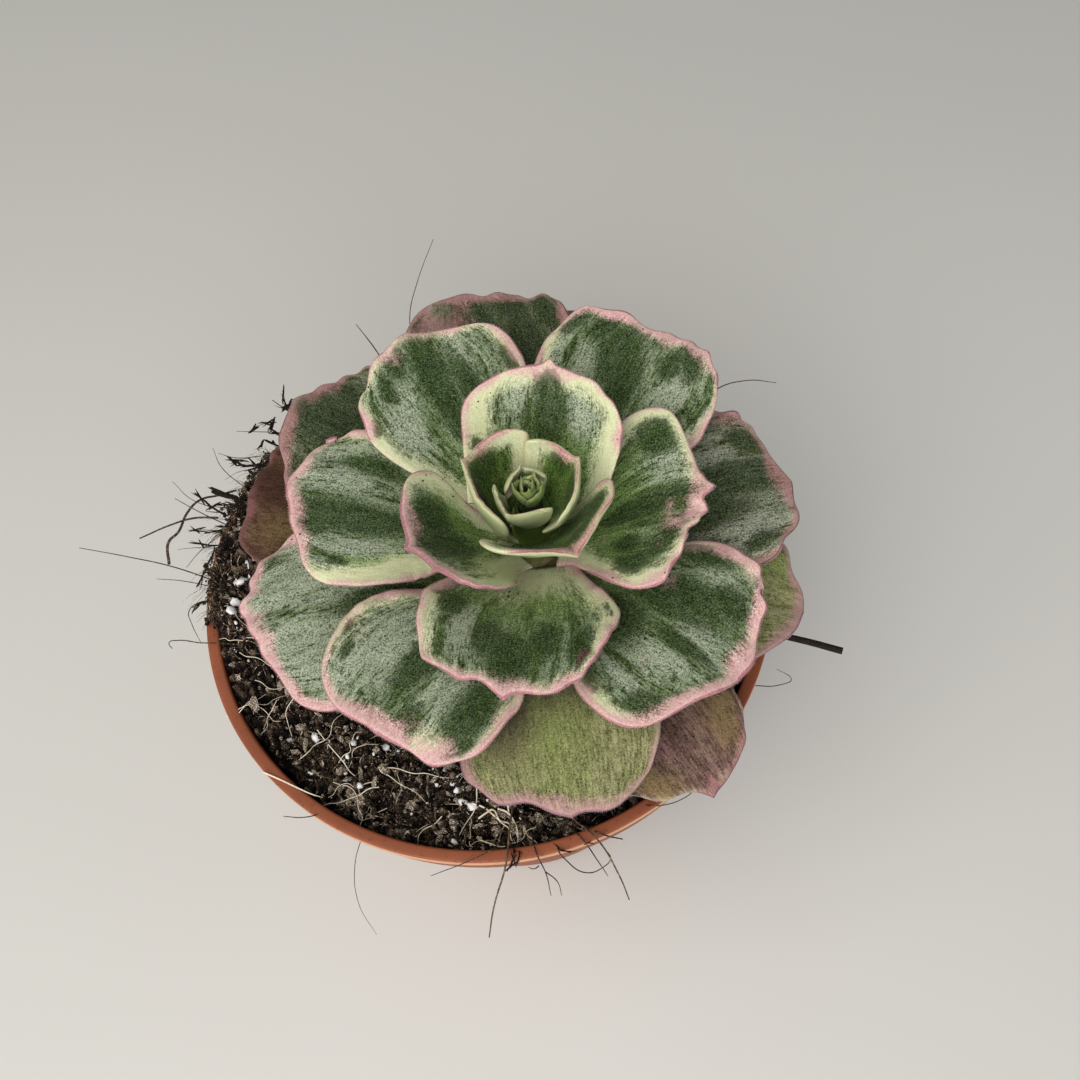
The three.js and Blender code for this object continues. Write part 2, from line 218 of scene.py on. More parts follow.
def copies(shapes: Sequence[bmesh.types.BMesh], places: Sequence[Matrix]) -> bpy.types.Mesh:
    """Join many copies of a few small shapes in one mesh.

    Args:
        shapes: The shapes, taken in turn. They are freed.
        places: Where each copy goes, in millimetres.

    Returns:
        The mesh, in metres.
    """
    points, faces, moulds = [], [], []
    for shape in shapes:
        shape.verts.index_update()
        corners = np.array([vert.co[:] for vert in shape.verts])
        moulds.append((corners, [[vert.index for vert in face.verts] for face in shape.faces]))
        shape.free()
    count = 0
    for k, place in enumerate(places):
        corners, outline = moulds[k % len(moulds)]
        points.append(corners @ np.array(place.to_3x3()).T + np.array(place.translation))
        faces.extend([index + count for index in face] for face in outline)
        count += len(corners)
    mesh = bpy.data.meshes.new("piece")
    mesh.from_pydata((np.concatenate(points) * MM).tolist(), [], faces)
    return mesh


@dataclass(frozen=True)
class Strand:
    """One root, fibre or hair: its points, its thickness and what share of that its tip keeps."""

    route: Sequence[Point]
    width: float
    tip: float


def strands_mesh(strands: Iterable[Strand], fineness: int, steps: int) -> bpy.types.Mesh:
    """Make round strands along smooth curves.

    Args:
        strands: The strands, in millimetres.
        fineness: Extra sides of each strand, from 0.
        steps: Steps between two points of a route.

    Returns:
        The mesh, in metres, with closed ends.
    """
    curve = bpy.data.curves.new("strands", "CURVE")
    curve.dimensions = "3D"
    curve.bevel_depth = 0.5 * MM
    curve.bevel_resolution = fineness
    curve.resolution_u = steps
    curve.use_fill_caps = True
    for strand in strands:
        spline = curve.splines.new("BEZIER")
        spline.bezier_points.add(len(strand.route) - 1)
        for k, (spot, place) in enumerate(zip(spline.bezier_points, strand.route)):
            share = k / (len(strand.route) - 1)
            spot.co = [value * MM for value in place]
            spot.handle_left_type = spot.handle_right_type = "AUTO"
            spot.radius = strand.width * (1.0 - (1.0 - strand.tip) * share ** 1.5)
    holder = bpy.data.objects.new("strands", curve)
    mesh = bpy.data.meshes.new_from_object(holder)
    bpy.data.objects.remove(holder)
    bpy.data.curves.remove(curve)
    return mesh


def wander(route: Sequence[Point], draw: random.Random, amount: float) -> list[Point]:
    """Put a point between each two points of a route, a little aside, as a root grows.

    Args:
        route: The route.
        draw: The random draw.
        amount: How far aside, in millimetres.

    Returns:
        The longer route.
    """
    longer = [route[0]]
    for here, there in zip(route, route[1:]):
        longer.append(tuple(0.5 * (a + b) + draw.gauss(0.0, amount) for a, b in zip(here, there)))
        longer.append(there)
    return longer


class Finish:
    """A surface finish that builds its material once and then hands it out."""

    name: str

    @cached_property
    def material(self) -> bpy.types.Material:
        """Build the material of this finish.

        Returns:
            The material.
        """
        material = bpy.data.materials.new(self.name)
        material.use_nodes = True
        material.node_tree.nodes.clear()
        add_node(material.node_tree, "OutputMaterial", {"Surface": self.shade(material.node_tree)})
        return material

    def shade(self, tree: bpy.types.NodeTree) -> Socket:
        """Build the shader in a node tree."""
        raise NotImplementedError


def show(name: str, mesh: bpy.types.Mesh, finish: Finish, slot: str, *nodes: str) -> bpy.types.Mesh:
    """Put a mesh, already in metres, in the scene as a piece of the plant.

    Args:
        name: Name of the piece.
        mesh: Its mesh.
        finish: Its finish.
        slot: The record's material slot that the finish stands for. It is not used.
        *nodes: The nodes of the model that it replaces.

    Returns:
        The mesh.
    """
    mesh.name = name
    mesh.materials.clear()
    mesh.materials.append(finish.material)
    mesh.shade_smooth()
    piece = bpy.data.objects.new(name, mesh)
    bpy.context.scene.collection.objects.link(piece)
    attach(piece, BODY)
    if nodes:
        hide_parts(*nodes)
    LOG.info("%s: %d triangles", name, sum(len(face.vertices) - 2 for face in mesh.polygons))
    return mesh


@dataclass(frozen=True, eq=False)
class MouldedPolypropylene(Finish):
    """Injection-moulded polypropylene.

    It gives a dull satin with faint flow marks 14 mm wide, a painted highlight as a paler line along the
    outer edge of the lip, and soil dust in scuffs. Real ones are 0.2 mm wide and wouldn't show, so they are
    drawn as 0.7 mm.
    """

    name: str = "moulded_polypropylene"
    colour: str = "#87482d"
    worn: str = "#985536"
    # Colour of the painted highlight along the lip's outer edge.
    thin: str = "#d9a47c"
    dust: str = "#3b281c"
    flow_size: float = 14.0
    scuff_size: float = 0.7
    dusty_height: float = 80.0

    def shade(self, tree: bpy.types.NodeTree) -> Socket:
        """Build the shader: flow marks, a painted highlight on the lip, then dust growing towards the rim.

        Args:
            tree: The node tree.

        Returns:
            The shader.
        """
        spot = add_node(tree, "TexCoord", {}, "Object")
        flow, scuff = (
            add_node(tree, "TexNoise", {"Vector": spot, "Scale": 1 / (size * MM), "Detail": detail})
            for size, detail in ((self.flow_size, 4.0), (self.scuff_size, 5.0))
        )
        x, y, z = add_node(tree, "SeparateXYZ", {"Vector": spot}).node.outputs
        level = add_node(tree, "CombineXYZ", {"X": x, "Y": y})
        radius = add_node(tree, "VectorMath", {0: level}, "Value", operation="LENGTH")
        marks, lip, speck, near_rim, rough = (
            add_node(tree, "MapRange", {
                "Value": value, "From Min": low, "From Max": high, "To Min": least, "To Max": most,
            })
            for value, low, high, least, most in (
                (flow, 0.35, 0.7, 0.0, 1.0),
                # Outer edge of the lip, where the painted highlight goes.
                (radius, (RIM_RADIUS - 0.16) * MM, (RIM_RADIUS - 0.02) * MM, 0.0, 1.0),
                (scuff, 0.6, 0.72, 0.0, 1.0),
                (z, self.dusty_height * MM, RIM_HEIGHT * MM, 0.15, 0.45),
                (scuff, 0.0, 1.0, 0.45, 0.75),
            )
        )
        dusty = add_node(tree, "Math", {0: speck, 1: near_rim}, operation="MULTIPLY")
        colour = self.colour
        # The lip's share paints a highlight along its outer edge.
        for share, tint in ((marks, self.worn), (lip, self.thin), (dusty, self.dust)):
            colour = add_node(tree, "Mix", {"Factor": share, 6: colour, 7: tint}, 2, data_type="RGBA")
        bump = add_node(tree, "Bump", {"Height": scuff, "Strength": 0.25, "Distance": 0.05 * MM})
        return add_node(tree, "BsdfPrincipled", {
            "Base Color": colour, "Roughness": rough, "Normal": bump, "IOR": 1.49, "Specular IOR Level": 0.4,
        })


@dataclass(frozen=True, eq=False)
class MattLaminate(Finish):
    """Matt laminate of a table top: near white, with faint clouds 170 mm wide that liven it up."""

    name: str = "matt_laminate"
    pale: str = "#d8d7d0"
    cloudy: str = "#d3d2cb"
    cloud_size: float = 1000.0 / 6.0

    def shade(self, tree: bpy.types.NodeTree) -> Socket:
        """Build the shader.

        Args:
            tree: The node tree.

        Returns:
            The shader.
        """
        spot = add_node(tree, "TexCoord", {}, "Object")
        scale = 1 / (self.cloud_size * MM)
        cloud = add_node(tree, "TexNoise", {"Vector": spot, "Scale": scale, "Detail": 3.0})
        colour = add_node(tree, "Mix", {"Factor": cloud, 6: self.cloudy, 7: self.pale}, 2, data_type="RGBA")
        return add_node(tree, "BsdfPrincipled", {"Base Color": colour, "Roughness": 0.6})


@dataclass(frozen=True, eq=False)
class Mottled(Finish):
    """A matt natural surface in three tones that change over a grain size, with a relief a fifth as wide.

    balance is where the tones part and spread how softly the pale one comes in. crest is how much paler, as
    painted light, the parts are that stand proud and how much darker, as painted shade, the hollows are;
    glow is the light let through, and sprout the colour of the fresh growth above sprout_height.
    """

    name: str
    dark: str
    middle: str
    pale: str
    grain: float
    relief: float
    rough: float = 0.9
    balance: float = 0.5
    spread: float = 0.2
    crest: float = 0.0
    glow: float = 0.0
    sprout: str = ""
    sprout_height: float = 108.0

    def shade(self, tree: bpy.types.NodeTree) -> Socket:
        """Build the shader.

        Args:
            tree: The node tree.

        Returns:
            The shader.
        """
        spot = add_node(tree, "TexCoord", {}, "Object")
        coarse, fine = (
            add_node(tree, "TexNoise", {
                "Vector": spot, "Scale": finer / (self.grain * MM), "Detail": detail, "Roughness": rough,
            })
            for finer, detail, rough in ((1, 5.0, 0.65), (5, 3.0, 0.5))
        )
        # Height over the smooth surface: painted shade in the hollows, painted light on what stands proud.
        if self.crest:
            proud = add_node(tree, "Attribute", {}, "Fac", attribute_name="crest")
            coarse, fine = (
                add_node(tree, "Math", {0: proud, 1: self.crest, 2: value}, operation="MULTIPLY_ADD")
                for value in (coarse, fine)
            )
        pale_from = self.balance + 0.02
        layers = [
            (coarse, self.balance - 0.16, self.balance + 0.04, self.middle),
            (fine, pale_from, pale_from + self.spread, self.pale),
        ]
        if self.sprout:
            height = add_node(tree, "SeparateXYZ", {"Vector": spot}, "Z")
            layers.append((height, (self.sprout_height - 8.0) * MM, self.sprout_height * MM, self.sprout))
        colour = self.dark
        for value, low, high, tint in layers:
            share = add_node(tree, "MapRange", {"Value": value, "From Min": low, "From Max": high})
            colour = add_node(tree, "Mix", {"Factor": share, 6: colour, 7: tint}, 2, data_type="RGBA")
        bump = add_node(tree, "Bump", {"Height": fine, "Strength": 0.6, "Distance": self.relief * MM})
        return add_node(tree, "BsdfPrincipled", {
            "Base Color": colour, "Roughness": self.rough, "Normal": bump, "Specular IOR Level": 0.2,
            "Subsurface Weight": self.glow, "Subsurface Radius": (1.0, 0.9, 0.7),
            "Subsurface Scale": 0.6 * MM,
        })


# What a leaf's mesh stores for its finish: the name of each attribute and of its three parts.
STORES = {
    "tones": ("dark", "silver", "cream"),
    "edge": ("margin", "blush", "under"),
    "age": ("glow", "dusk", "grey"),
}


@dataclass(frozen=True, eq=False)
class VelvetLeaf(Finish):
    """Fleshy leaf under short white down.

    It gives a soft matt skin streaked green, grey and silver, with cream, pink and dark green patches whose
    edges follow veins 0.45 mm apart and blotches of 1.2 mm. The down is 0.05 mm thick on the real leaf and is
    drawn as specks of 0.32 mm, because finer ones don't show. nap is how strongly it speckles the colour.
    """

    name: str
    green: str = "#425328"
    grey: str = "#6c7c59"
    silver: str = "#a1aa92"
    glow: str = "#7b994e"
    dark: str = "#293c15"
    cream: str = "#dde0b3"
    blush: str = "#d9acaa"
    rim: str = "#a05c6a"
    # Dark brown of painted shade, where a leaf lies in the shadow of others.
    dusk: str = "#5a3a38"
    under: str = "#8b8f72"
    under_blush: str = "#94636c"
    down: str = "#dfe6d6"
    vein_width: float = 0.45
    streak_width: float = 2.0
    blotch_size: float = 1.2
    drift_size: float = 8.0
    down_size: float = 0.32
    nap: float = 3.3

    def shade(self, tree: bpy.types.NodeTree) -> Socket:
        """Build the shader: each layer of colour is a stored field whose edge the noises break up.

        Args:
            tree: The node tree.

        Returns:
            The shader.
        """
        spot = add_node(tree, "TexCoord", {}, "Object")
        grain = add_node(tree, "Attribute", {}, "Vector", attribute_name="grain")
        fields, noises = {}, {}
        for name, parts in STORES.items():
            vector = add_node(tree, "Attribute", {}, "Vector", attribute_name=name)
            fields.update(zip(parts, add_node(tree, "SeparateXYZ", {"Vector": vector}).node.outputs))
        for name, vector, scale, detail, rough in (
            ("vein", grain, 1 / self.vein_width, 3.0, 0.6),
            ("streak", grain, 1 / self.streak_width, 2.0, 0.5),
            ("blotch", spot, 1 / (self.blotch_size * MM), 3.0, 0.7),
            ("drift", spot, 1 / (self.drift_size * MM), 1.0, 0.5),
            ("down", spot, 1 / (self.down_size * MM), 3.0, 0.75),
        ):
            raw = add_node(tree, "TexNoise", {
                "Vector": vector, "Scale": scale, "Detail": detail, "Roughness": rough,
            })
            noises[name] = add_node(tree, "Math", {0: raw, 1: -0.5}, operation="ADD")

        rim = add_node(
            tree, "Math", {0: fields["margin"], 1: -3.6, 2: fields["blush"]}, operation="MULTIPLY_ADD"
        )
        pale = add_node(tree, "Math", {0: fields["cream"], 1: fields["blush"]}, operation="MAXIMUM")
        bare = add_node(
            tree, "MapRange", {"Value": pale, "From Min": -0.5, "From Max": 0.6, "To Min": 1.0, "To Max": 0.0}
        )
        specks, hold = (
            add_node(tree, "Math", {0: bare, 1: most, 2: least}, operation="MULTIPLY_ADD")
            for most, least in ((0.5, -0.9), (0.6, 0.3))
        )
        patchy = {"vein": 1.4, "streak": 1.8, "blotch": 2.2}
        washy = {"vein": 1.0, "streak": 1.2, "blotch": 1.2, "drift": 1.6}
        # Each layer: field, how far each noise shifts its edge, how soft it is, colour and greatest share.
        layers = (
            (0.0, {"vein": 4.0, "streak": 4.0, "blotch": 1.5}, 0.9, self.grey, 1.0),
            (fields["grey"], {"vein": 2.4, "streak": 4.0, "blotch": 2.6}, 0.9, self.silver, 0.75),
            (fields["glow"], {"vein": 1.5, "streak": 2.0}, 1.0, self.glow, 0.85),
            (fields["silver"], {"vein": 2.4, "streak": 3.0, "blotch": 2.6}, 0.7, self.silver, 0.9),
            (-0.5, {"vein": 6.0, "blotch": 3.0, "streak": -2.0}, 0.8, self.green, 0.5),
            (fields["cream"], washy, 1.0, self.cream, 1.0),
            (fields["dark"], patchy, 0.38, self.dark, 0.88),
            (specks, {"down": 3.4}, 0.5, self.grey, 0.5),
            (fields["blush"], {"blotch": 1.4, "drift": 3.6}, 0.75, self.blush, 0.9),
            # Painted shade: dark brown where a leaf lies in shadow.
            (fields["dusk"], patchy, 0.6, self.dusk, 0.85),
            (rim, {"drift": 4.4, "blotch": 1.4}, 0.6, self.rim, 0.75),
        )
        colour = self.green
        for value, shifts, soft, tint, most in layers:
            for name, shift in shifts.items():
                value = add_node(
                    tree, "Math", {0: noises[name], 1: shift, 2: value}, operation="MULTIPLY_ADD"
                )
            share = add_node(
                tree, "MapRange", {"Value": value, "From Min": -soft, "From Max": soft, "To Max": most},
                interpolation_type="SMOOTHSTEP",
            )
            colour = add_node(tree, "Mix", {"Factor": share, 6: colour, 7: tint}, 2, data_type="RGBA")
        nap, relief = 0.5, 0.0
        for name, tone, height in (("down", self.nap, 0.9), ("vein", 1.1, 1.2), ("blotch", 0.4, 0.8)):
            nap, relief = (
                add_node(tree, "Math", {0: noises[name], 1: strength, 2: value}, operation="MULTIPLY_ADD")
                for strength, value in ((tone, nap), (height, relief))
            )
        flush = add_node(tree, "MapRange", {"Value": fields["margin"], "From Min": 6.0, "From Max": 0.5})
        colour = add_node(
            tree, "Mix", {"Factor": hold, 6: colour, 7: nap}, 2, data_type="RGBA", blend_type="OVERLAY"
        )
        below = add_node(
            tree, "Mix", {"Factor": flush, 6: self.under, 7: self.under_blush}, 2, data_type="RGBA"
        )
        colour = add_node(tree, "Mix", {"Factor": fields["under"], 6: colour, 7: below}, 2, data_type="RGBA")
        bump = add_node(tree, "Bump", {"Height": relief, "Strength": 0.45, "Distance": 0.16 * MM})
        return add_node(tree, "BsdfPrincipled", {
            "Base Color": colour, "Roughness": 0.7, "Normal": bump, "IOR": 1.4, "Specular IOR Level": 0.16,
            "Subsurface Weight": 0.1, "Subsurface Radius": (0.7, 1.0, 0.4), "Subsurface Scale": 0.9 * MM,
            "Sheen Weight": 0.08, "Sheen Roughness": 0.5, "Sheen Tint": self.down,
        })


TERRACOTTA_PLASTIC = MouldedPolypropylene()
# Moist peat mix: almost black, with crumbs of 1.1 mm. Its hollows get painted shade and what stands
# proud painted light.
PEAT = Mottled(
    "peat_mix", "#050201", "#160d08", "#7d6a57", 1.1, 0.3, rough=0.97, balance=0.53, crest=0.1, spread=0.1,
)
# Crumbled humus: as dark as the peat, with dry crusts of 0.9 mm.
HUMUS = Mottled(
    "crumbly_humus", "#050201", "#170e09", "#8b7762", 0.9, 0.2, rough=0.95, balance=0.53, spread=0.1,
)
# Chipped conifer bark: brown chips with near-white flecks 0.9 mm wide here and there, partly bleached
# fibres and partly painted highlights.
BARK_CHIP = Mottled("bark_chip", "#1a110b", "#6a5844", "#fbf1de", 0.9, 0.12, rough=0.92, spread=0.12)
# Expanded perlite: bright white foamed glass, full of pores. They are 0.2 mm wide, a fifth of this grain.
PERLITE = Mottled("expanded_perlite", "#e4e1da", "#fbfaf7", "#ffffff", 0.9, 0.12, rough=0.8, glow=0.2)
# Fresh root: cream and slightly glossy, darker over stretches of 2.2 mm.
PALE_ROOT = Mottled("pale_root", "#d2c19d", "#f2e6cb", "#fffaf0", 2.2, 0.06, rough=0.75)
# Dead hair root: nearly black, with paler stretches of 3 mm.
DARK_ROOT = Mottled("dark_root", "#1d1510", "#3e3128", "#85715c", 3.0, 0.08, rough=0.8)
# Dry root: brown and straw-coloured, in stretches of 3 mm.
DRY_ROOT = Mottled("dry_root", "#33271d", "#64523f", "#a8926f", 3.0, 0.08, rough=0.8)
# Peat fibre: split brown moss stems with bleached stretches of 2.4 mm.
PEAT_FIBRE = Mottled("peat_fibre", "#33261a", "#725c42", "#efe3ca", 2.4, 0.05, rough=0.85, spread=0.12)
# Weathered bark: nearly black and matt, with a crust of 0.8 mm.
DARK_BARK = Mottled("weathered_bark", "#0c0807", "#1e1612", "#4a3c30", 0.8, 0.12, rough=0.9)
# Corky stem: grey-brown cork in plates of 1.6 mm that turns green where the stem is still growing.
CORKY_STEM = Mottled("corky_stem", "#4a3f2a", "#7c6f4e", "#a09672", 1.6, 0.2, rough=0.8, sprout="#5f7436")
# Leaf down: white, slightly clear hairs that make a bright fringe.
LEAF_DOWN = Mottled("leaf_down", "#d9cfc0", "#efeadb", "#fbf8ee", 1.0, 0.02, rough=0.6, glow=0.3)
# Young leaves: yellower than the others, with a stronger pink line at the rim.
YOUNG_LEAF = VelvetLeaf(
    "velvet_leaf_young", green="#3f5620", grey="#62793c", silver="#8b9d60", glow="#5a7434", dark="#2c4113",
    blush="#d3a29a", rim="#b0607a", under="#76894c", under_blush="#bcc290",
)
# Bud: the greenest, and darkened as painted shade, because little light reaches it.
BUD_LEAF = VelvetLeaf(
    "velvet_leaf_bud", green="#34481b", grey="#4a5f2b", silver="#74864b", glow="#5d7530", dark="#22340f",
    cream="#a6ae76", under="#4a5d2b", under_blush="#7c8d50",
)
GROWN_LEAF = VelvetLeaf("velvet_leaf_grown")
# Leaves at the back, in shadow: a duller, darker copy of the grown leaf with a brownish rim, as painted
# shade.
SHADED_LEAF = VelvetLeaf(
    "velvet_leaf_shaded", green="#444d2d", grey="#6b7059", silver="#969a87", dark="#28381a", blush="#a97f7c",
    rim="#6e424a", cream="#c9cba9",
)
# Aged leaves: olive and smooth, because their down has worn off.
AGED_LEAF = VelvetLeaf(
    "velvet_leaf_aged", green="#777a4e", grey="#8d8c60", silver="#a09c78", glow="#849053", dark="#565a3a",
    blush="#b28d87", rim="#8f5a72", dusk="#5b5340", under="#847d5e", under_blush="#85545f", nap=2.0,
)
# Withered leaf: brown and mauve, with ochre patches.
WITHERED_LEAF = VelvetLeaf(
    "velvet_leaf_withered", green="#604a40", grey="#725951", silver="#866c62", glow="#87744b", dark="#38271d",
    blush="#9a6c6c", rim="#84485c", dusk="#4a3026", under="#66553f", under_blush="#6c4450", nap=2.0,
)
# Dried leaves: dark brown and dull, and darker still as painted shade, since the lowest leaves lie in shadow.
DRIED_LEAF = VelvetLeaf(
    "velvet_leaf_dried", green="#4b3425", grey="#5f4637", silver="#6f5546", glow="#6d5b38", dark="#2c1c13",
    blush="#7f5553", rim="#71404e", dusk="#382219", under="#54442f", under_blush="#5c3a44", nap=2.0,
)


class Tone(Enum):
    """What a stroke of colour on a leaf is."""

    DARK = "dark"
    SILVER = "silver"
    CREAM = "cream"
    BLUSH = "blush"
    GLOW = "glow"
    # Painted shade, where a leaf lies in shadow.
    PAINTED_SHADE = "dusk"
    GREY = "grey"


@dataclass(frozen=True)
class Band:
    """Width of a coloured margin on the clockwise side of a leaf, at its tip and on the other side."""

    clockwise: float = 1.5
    tip: float = 1.2
    other: float = 1.5

    SOFT = 2.0

    def inside(self, around: Array, margin: Array) -> Array:
        """Measure how far inside the coloured margin each point lies.

        Args:
            around: Angle round the blade, negative on the clockwise side.
            margin: Distance to the margin.

        Returns:
            A signed share, positive inside.
        """
        side = np.where(around < 0.0, self.clockwise, self.other)
        width = self.tip + (side - self.tip) * smooth_share(np.abs(around), 0.35, 1.3)
        return np.clip((width - margin) / self.SOFT, -2.0, 1.5)


@dataclass(frozen=True)
class Look:
    """Colours of one leaf.

    Shade and grey are how far painted shade darkens the whole leaf and how silvery it is,
    from -1 to 1. A stroke is its middle along and across the leaf and its half sizes, as shares of the leaf.
    """

    finish: VelvetLeaf
    slot: str
    cream: Band = Band()
    blush: Band = Band(1.6, 1.6, 1.6)
    dusk: float = -1.0
    grey: float = 0.0
    strokes: dict[Tone, tuple[tuple[float, float, float, float], ...]] = field(default_factory=dict)


def waves(around: Array, phase: float, parts: Sequence[tuple[float, float, float]]) -> Array:
    """Add up waves that run round a blade, each given by its count, its share of the phase and its height."""
    return sum(height * np.sin(count * around + turn * phase) for count, turn, height in parts)


@dataclass(frozen=True)
class Blade:
    """Form of one leaf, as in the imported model.

    turn is the direction of the tip, reach its distance from the stem's axis, above its height over the rim,
    and root the height over the rim where the leaf leaves the stem. leave and end are the slopes of the
    midrib, neck the width of the base as a share of the leaf's width, and peak how far along the leaf is
    widest. blunt is 1 for an oval end and less for a broader one, and keel is how far the midrib sinks.
    seat is where the leaf starts, if that isn't the side of the stem.
    point is how much of its sharp point a leaf has kept, cup is how far its sides are drawn in, flare how far
    its point is bent outwards and tuck how far its whole end is drawn in. fold is how flat its halves are on
    both sides of a crease, sway how far one half is drawn in and the other out, and ripple how strongly the
    margin is waved, which a leaf of the heart hardly is yet.
    """

    index: int
    turn: float
    reach: float
    above: float
    width: float
    root: float
    leave: float
    end: float
    neck: float
    peak: float
    blunt: float
    keel: float
    seat: float | None = None
    point: float = 1.0
    cup: float = 0.0
    flare: float = 0.0
    tuck: float = 0.0
    fold: float = 0.0
    sway: float = 0.0
    ripple: float = 1.0

    CORNER = math.radians(52.0)
    MUCRO = 1.4
    EDGE_THICKNESS = 0.8
    ROUND_EDGE = 1.1
    CURVE_STEPS = 400
    SLOPE_STEP = 0.004
    LEAST_ROUNDNESS = 0.12
    VEIN_HEIGHT = 0.05
    RIB_DEPTH = 0.22
    RIB_WIDTH = 0.8
    BROAD_WAVES = ((5, 1.0, 1.0), (8, 2.3, 0.6))
    RUFFLES = ((15, 1.7, 1.0), (24, 0.6, 0.6))
    CRUMPLES = ((22, 1.0, 1.0), (37, 1.9, 0.8))

    @property
    def phase(self) -> float:
        """Where the waves start, another place on each leaf."""
        return math.radians(GOLDEN_TURN) * self.index

    def uneven(self, around: Array) -> Array:
        """Where the margin is waved more strongly, as a share."""
        return 0.5 + 0.5 * np.sin(2.3 * around + 1.3 * self.phase)

    def crumple(self, around: Array) -> Array:
        """Where the margin is crumpled, as a share."""
        return np.clip(np.sin(1.9 * around + 2.1 * self.index), 0.0, 1.0) ** 4

    def thickness(self, u: Field, v: Field) -> Field:
        """Thickness, fleshy along the midrib and thin at the margin and the tip."""
        fleshy = max(0.5 + 0.042 * self.width - self.EDGE_THICKNESS, 0.0)
        return self.EDGE_THICKNESS + fleshy * (1.0 - np.abs(v) ** 2.2) * (1.0 - 0.75 * u ** 4)

    @cached_property
    def midrib(self) -> tuple[Array, Array, Array]:
        """Draw the midrib as a smooth arch from the stem to the tip.

        Returns:
            Length along it, its points, as distance from the axis and height, and its slope there.
        """
        lean = 0.5 * float(self.thickness(0.0, 0.0)) * math.sin(math.radians(self.leave))
        stem = STEM_RADIUS - STEM_TAPER * max(self.root, 0.0)
        start = stem + NODE_GAP + 0.1 + lean if self.seat is None else self.seat
        root, tip = np.array([start, self.root]), np.array([self.reach, self.above])
        handle = 0.36 * float(np.hypot(*(tip - root)))
        leave, end = (
            np.array([math.cos(math.radians(slope)), math.sin(math.radians(slope))])
            for slope in (self.leave, self.end)
        )
        stops = (root, root + handle * leave, tip - handle * end, tip)
        t = np.linspace(0.0, 1.0, self.CURVE_STEPS)[:, None]
        line = sum(math.comb(3, k) * (1 - t) ** (3 - k) * t ** k * stop for k, stop in enumerate(stops))
        length = np.concatenate([[0.0], np.cumsum(np.hypot(*np.diff(line, axis=0).T))])
        return length, line, np.gradient(line, length, axis=0)

    @property
    def length(self) -> float:
        """Length of the midrib."""
        return float(self.midrib[0][-1])

    def half_width(self, along: Array) -> Array:
        """Measure half the width of the flat leaf.

        Args:
            along: Distance from the base.

        Returns:
            Half the width there.
        """
        peak = self.peak * self.length
        swell = np.sin(math.pi / 2 * np.clip(along / peak, 0.0, 1.0) ** 1.25) ** 1.5
        end = np.clip((along - peak) / (self.length - peak), 0.0, 1.0)
        taper = np.sin(np.arccos(end ** (1.0 / self.blunt)))
        return self.width / 2 * np.where(along < peak, self.neck + (1.0 - self.neck) * swell, taper)

    def flat(self, u: Array, v: Array) -> tuple[Array, Array, Array, Array]:
        """Lay the leaf out flat.

        Args:
            u: Share of the way from the base to the tip.
            v: Share of the half width, negative on the clockwise side.

        Returns:
            Distance along, distance across, angle round the blade and how near the margin is.
        """
        peak = self.peak * self.length
        corner = peak + (self.length - peak) * math.cos(self.CORNER) ** self.blunt
        end = peak + (self.length - peak) * np.cos(v * self.CORNER) ** self.blunt
        arc = self.width / 2 * (np.sin(v * self.CORNER) - v * math.sin(self.CORNER))
        point = self.point * (self.MUCRO * np.exp(-np.abs(v / 0.07) ** 1.4) + 0.9 * np.exp(-np.abs(v) / 0.25))
        along = u * (end + point * u ** 6)
        across = v * self.half_width(u * corner) + u * arc
        edge = np.maximum(v ** 4, u ** 5)
        around = np.arctan2(across, along - 0.45 * self.length)
        scallop = 1.0
        for depth, where, count, turn in (
            (0.02, 1.0, 6, 2), (0.012, self.uneven(around), 17, 3), (0.009, self.crumple(around), 33, 2),
        ):
            wave = np.sin(count * around + turn * self.phase)
            scallop = scallop + self.ripple * depth * where * edge * u * wave
        return along * scallop, across * scallop, around, edge

    def middle(self, u: Array, v: Array) -> Array:
        """Wrap the flat leaf round the stem's axis, on the cone that the midrib has there.

        Args:
            u: Share of the way along.
            v: Share of the half width.

        Returns:
            Points of the middle surface before its waves, in millimetres.
        """
        along, across, _, _ = self.flat(u, v)
        length, line, slope = self.midrib
        share = np.minimum(along, self.length)
        out, up = (np.interp(share, length, line[:, k]) for k in (0, 1))
        heading, rise = (np.interp(share, length, slope[:, k]) for k in (0, 1))
        past = np.maximum(along - self.length, 0.0)
        out, up = out + past * heading, up + past * rise
        flat = np.maximum(heading, 0.05)
        radius = np.hypot(out, flat * across)
        turn = math.radians(self.turn) + np.arctan2(flat * across, out) / flat
        height = RIM_HEIGHT + up + (radius - out) * rise / flat
        x, y = PLANT_AXIS
        return np.stack([x + radius * np.cos(turn), y + radius * np.sin(turn), height], axis=-1)

    def lift(self, u: Array, v: Array) -> Array:
        """Measure the waves along the margin, the sunk midrib and the fine veins.

        Args:
            u: Share of the way along.
            v: Share of the half width.

        Returns:
            Height over the middle surface.
        """
        _, across, around, edge = self.flat(u, v)
        wave = waves(around, self.phase, self.BROAD_WAVES)
        ruffle = self.uneven(around) * waves(around, self.phase, self.RUFFLES)
        fold = self.crumple(around) * waves(around, self.phase, self.CRUMPLES)
        vein = self.VEIN_HEIGHT * np.sin(across * 2.1 + self.phase) * np.sin(across * 0.83) * (1.0 - edge)
        rib = self.RIB_DEPTH * np.exp(-(across / self.RIB_WIDTH) ** 2) * np.clip(u * 1.4 - 0.2, 0.0, 1.0)
        margin = self.ripple * self.width * (0.022 * wave + 0.009 * ruffle + 0.008 * fold) * edge * u
        bend = self.cup * v * v * u + self.tuck * u ** 3 + self.sway * v * u * u
        crease = self.fold * np.sin(math.pi * np.abs(v)) * u * u
        bend += crease - self.flare * np.exp(-np.abs(v) / 0.3) * u ** 5
        return margin + bend - self.keel * (1.0 - np.abs(v)) * u * u + vein - rib * (1.0 - edge)

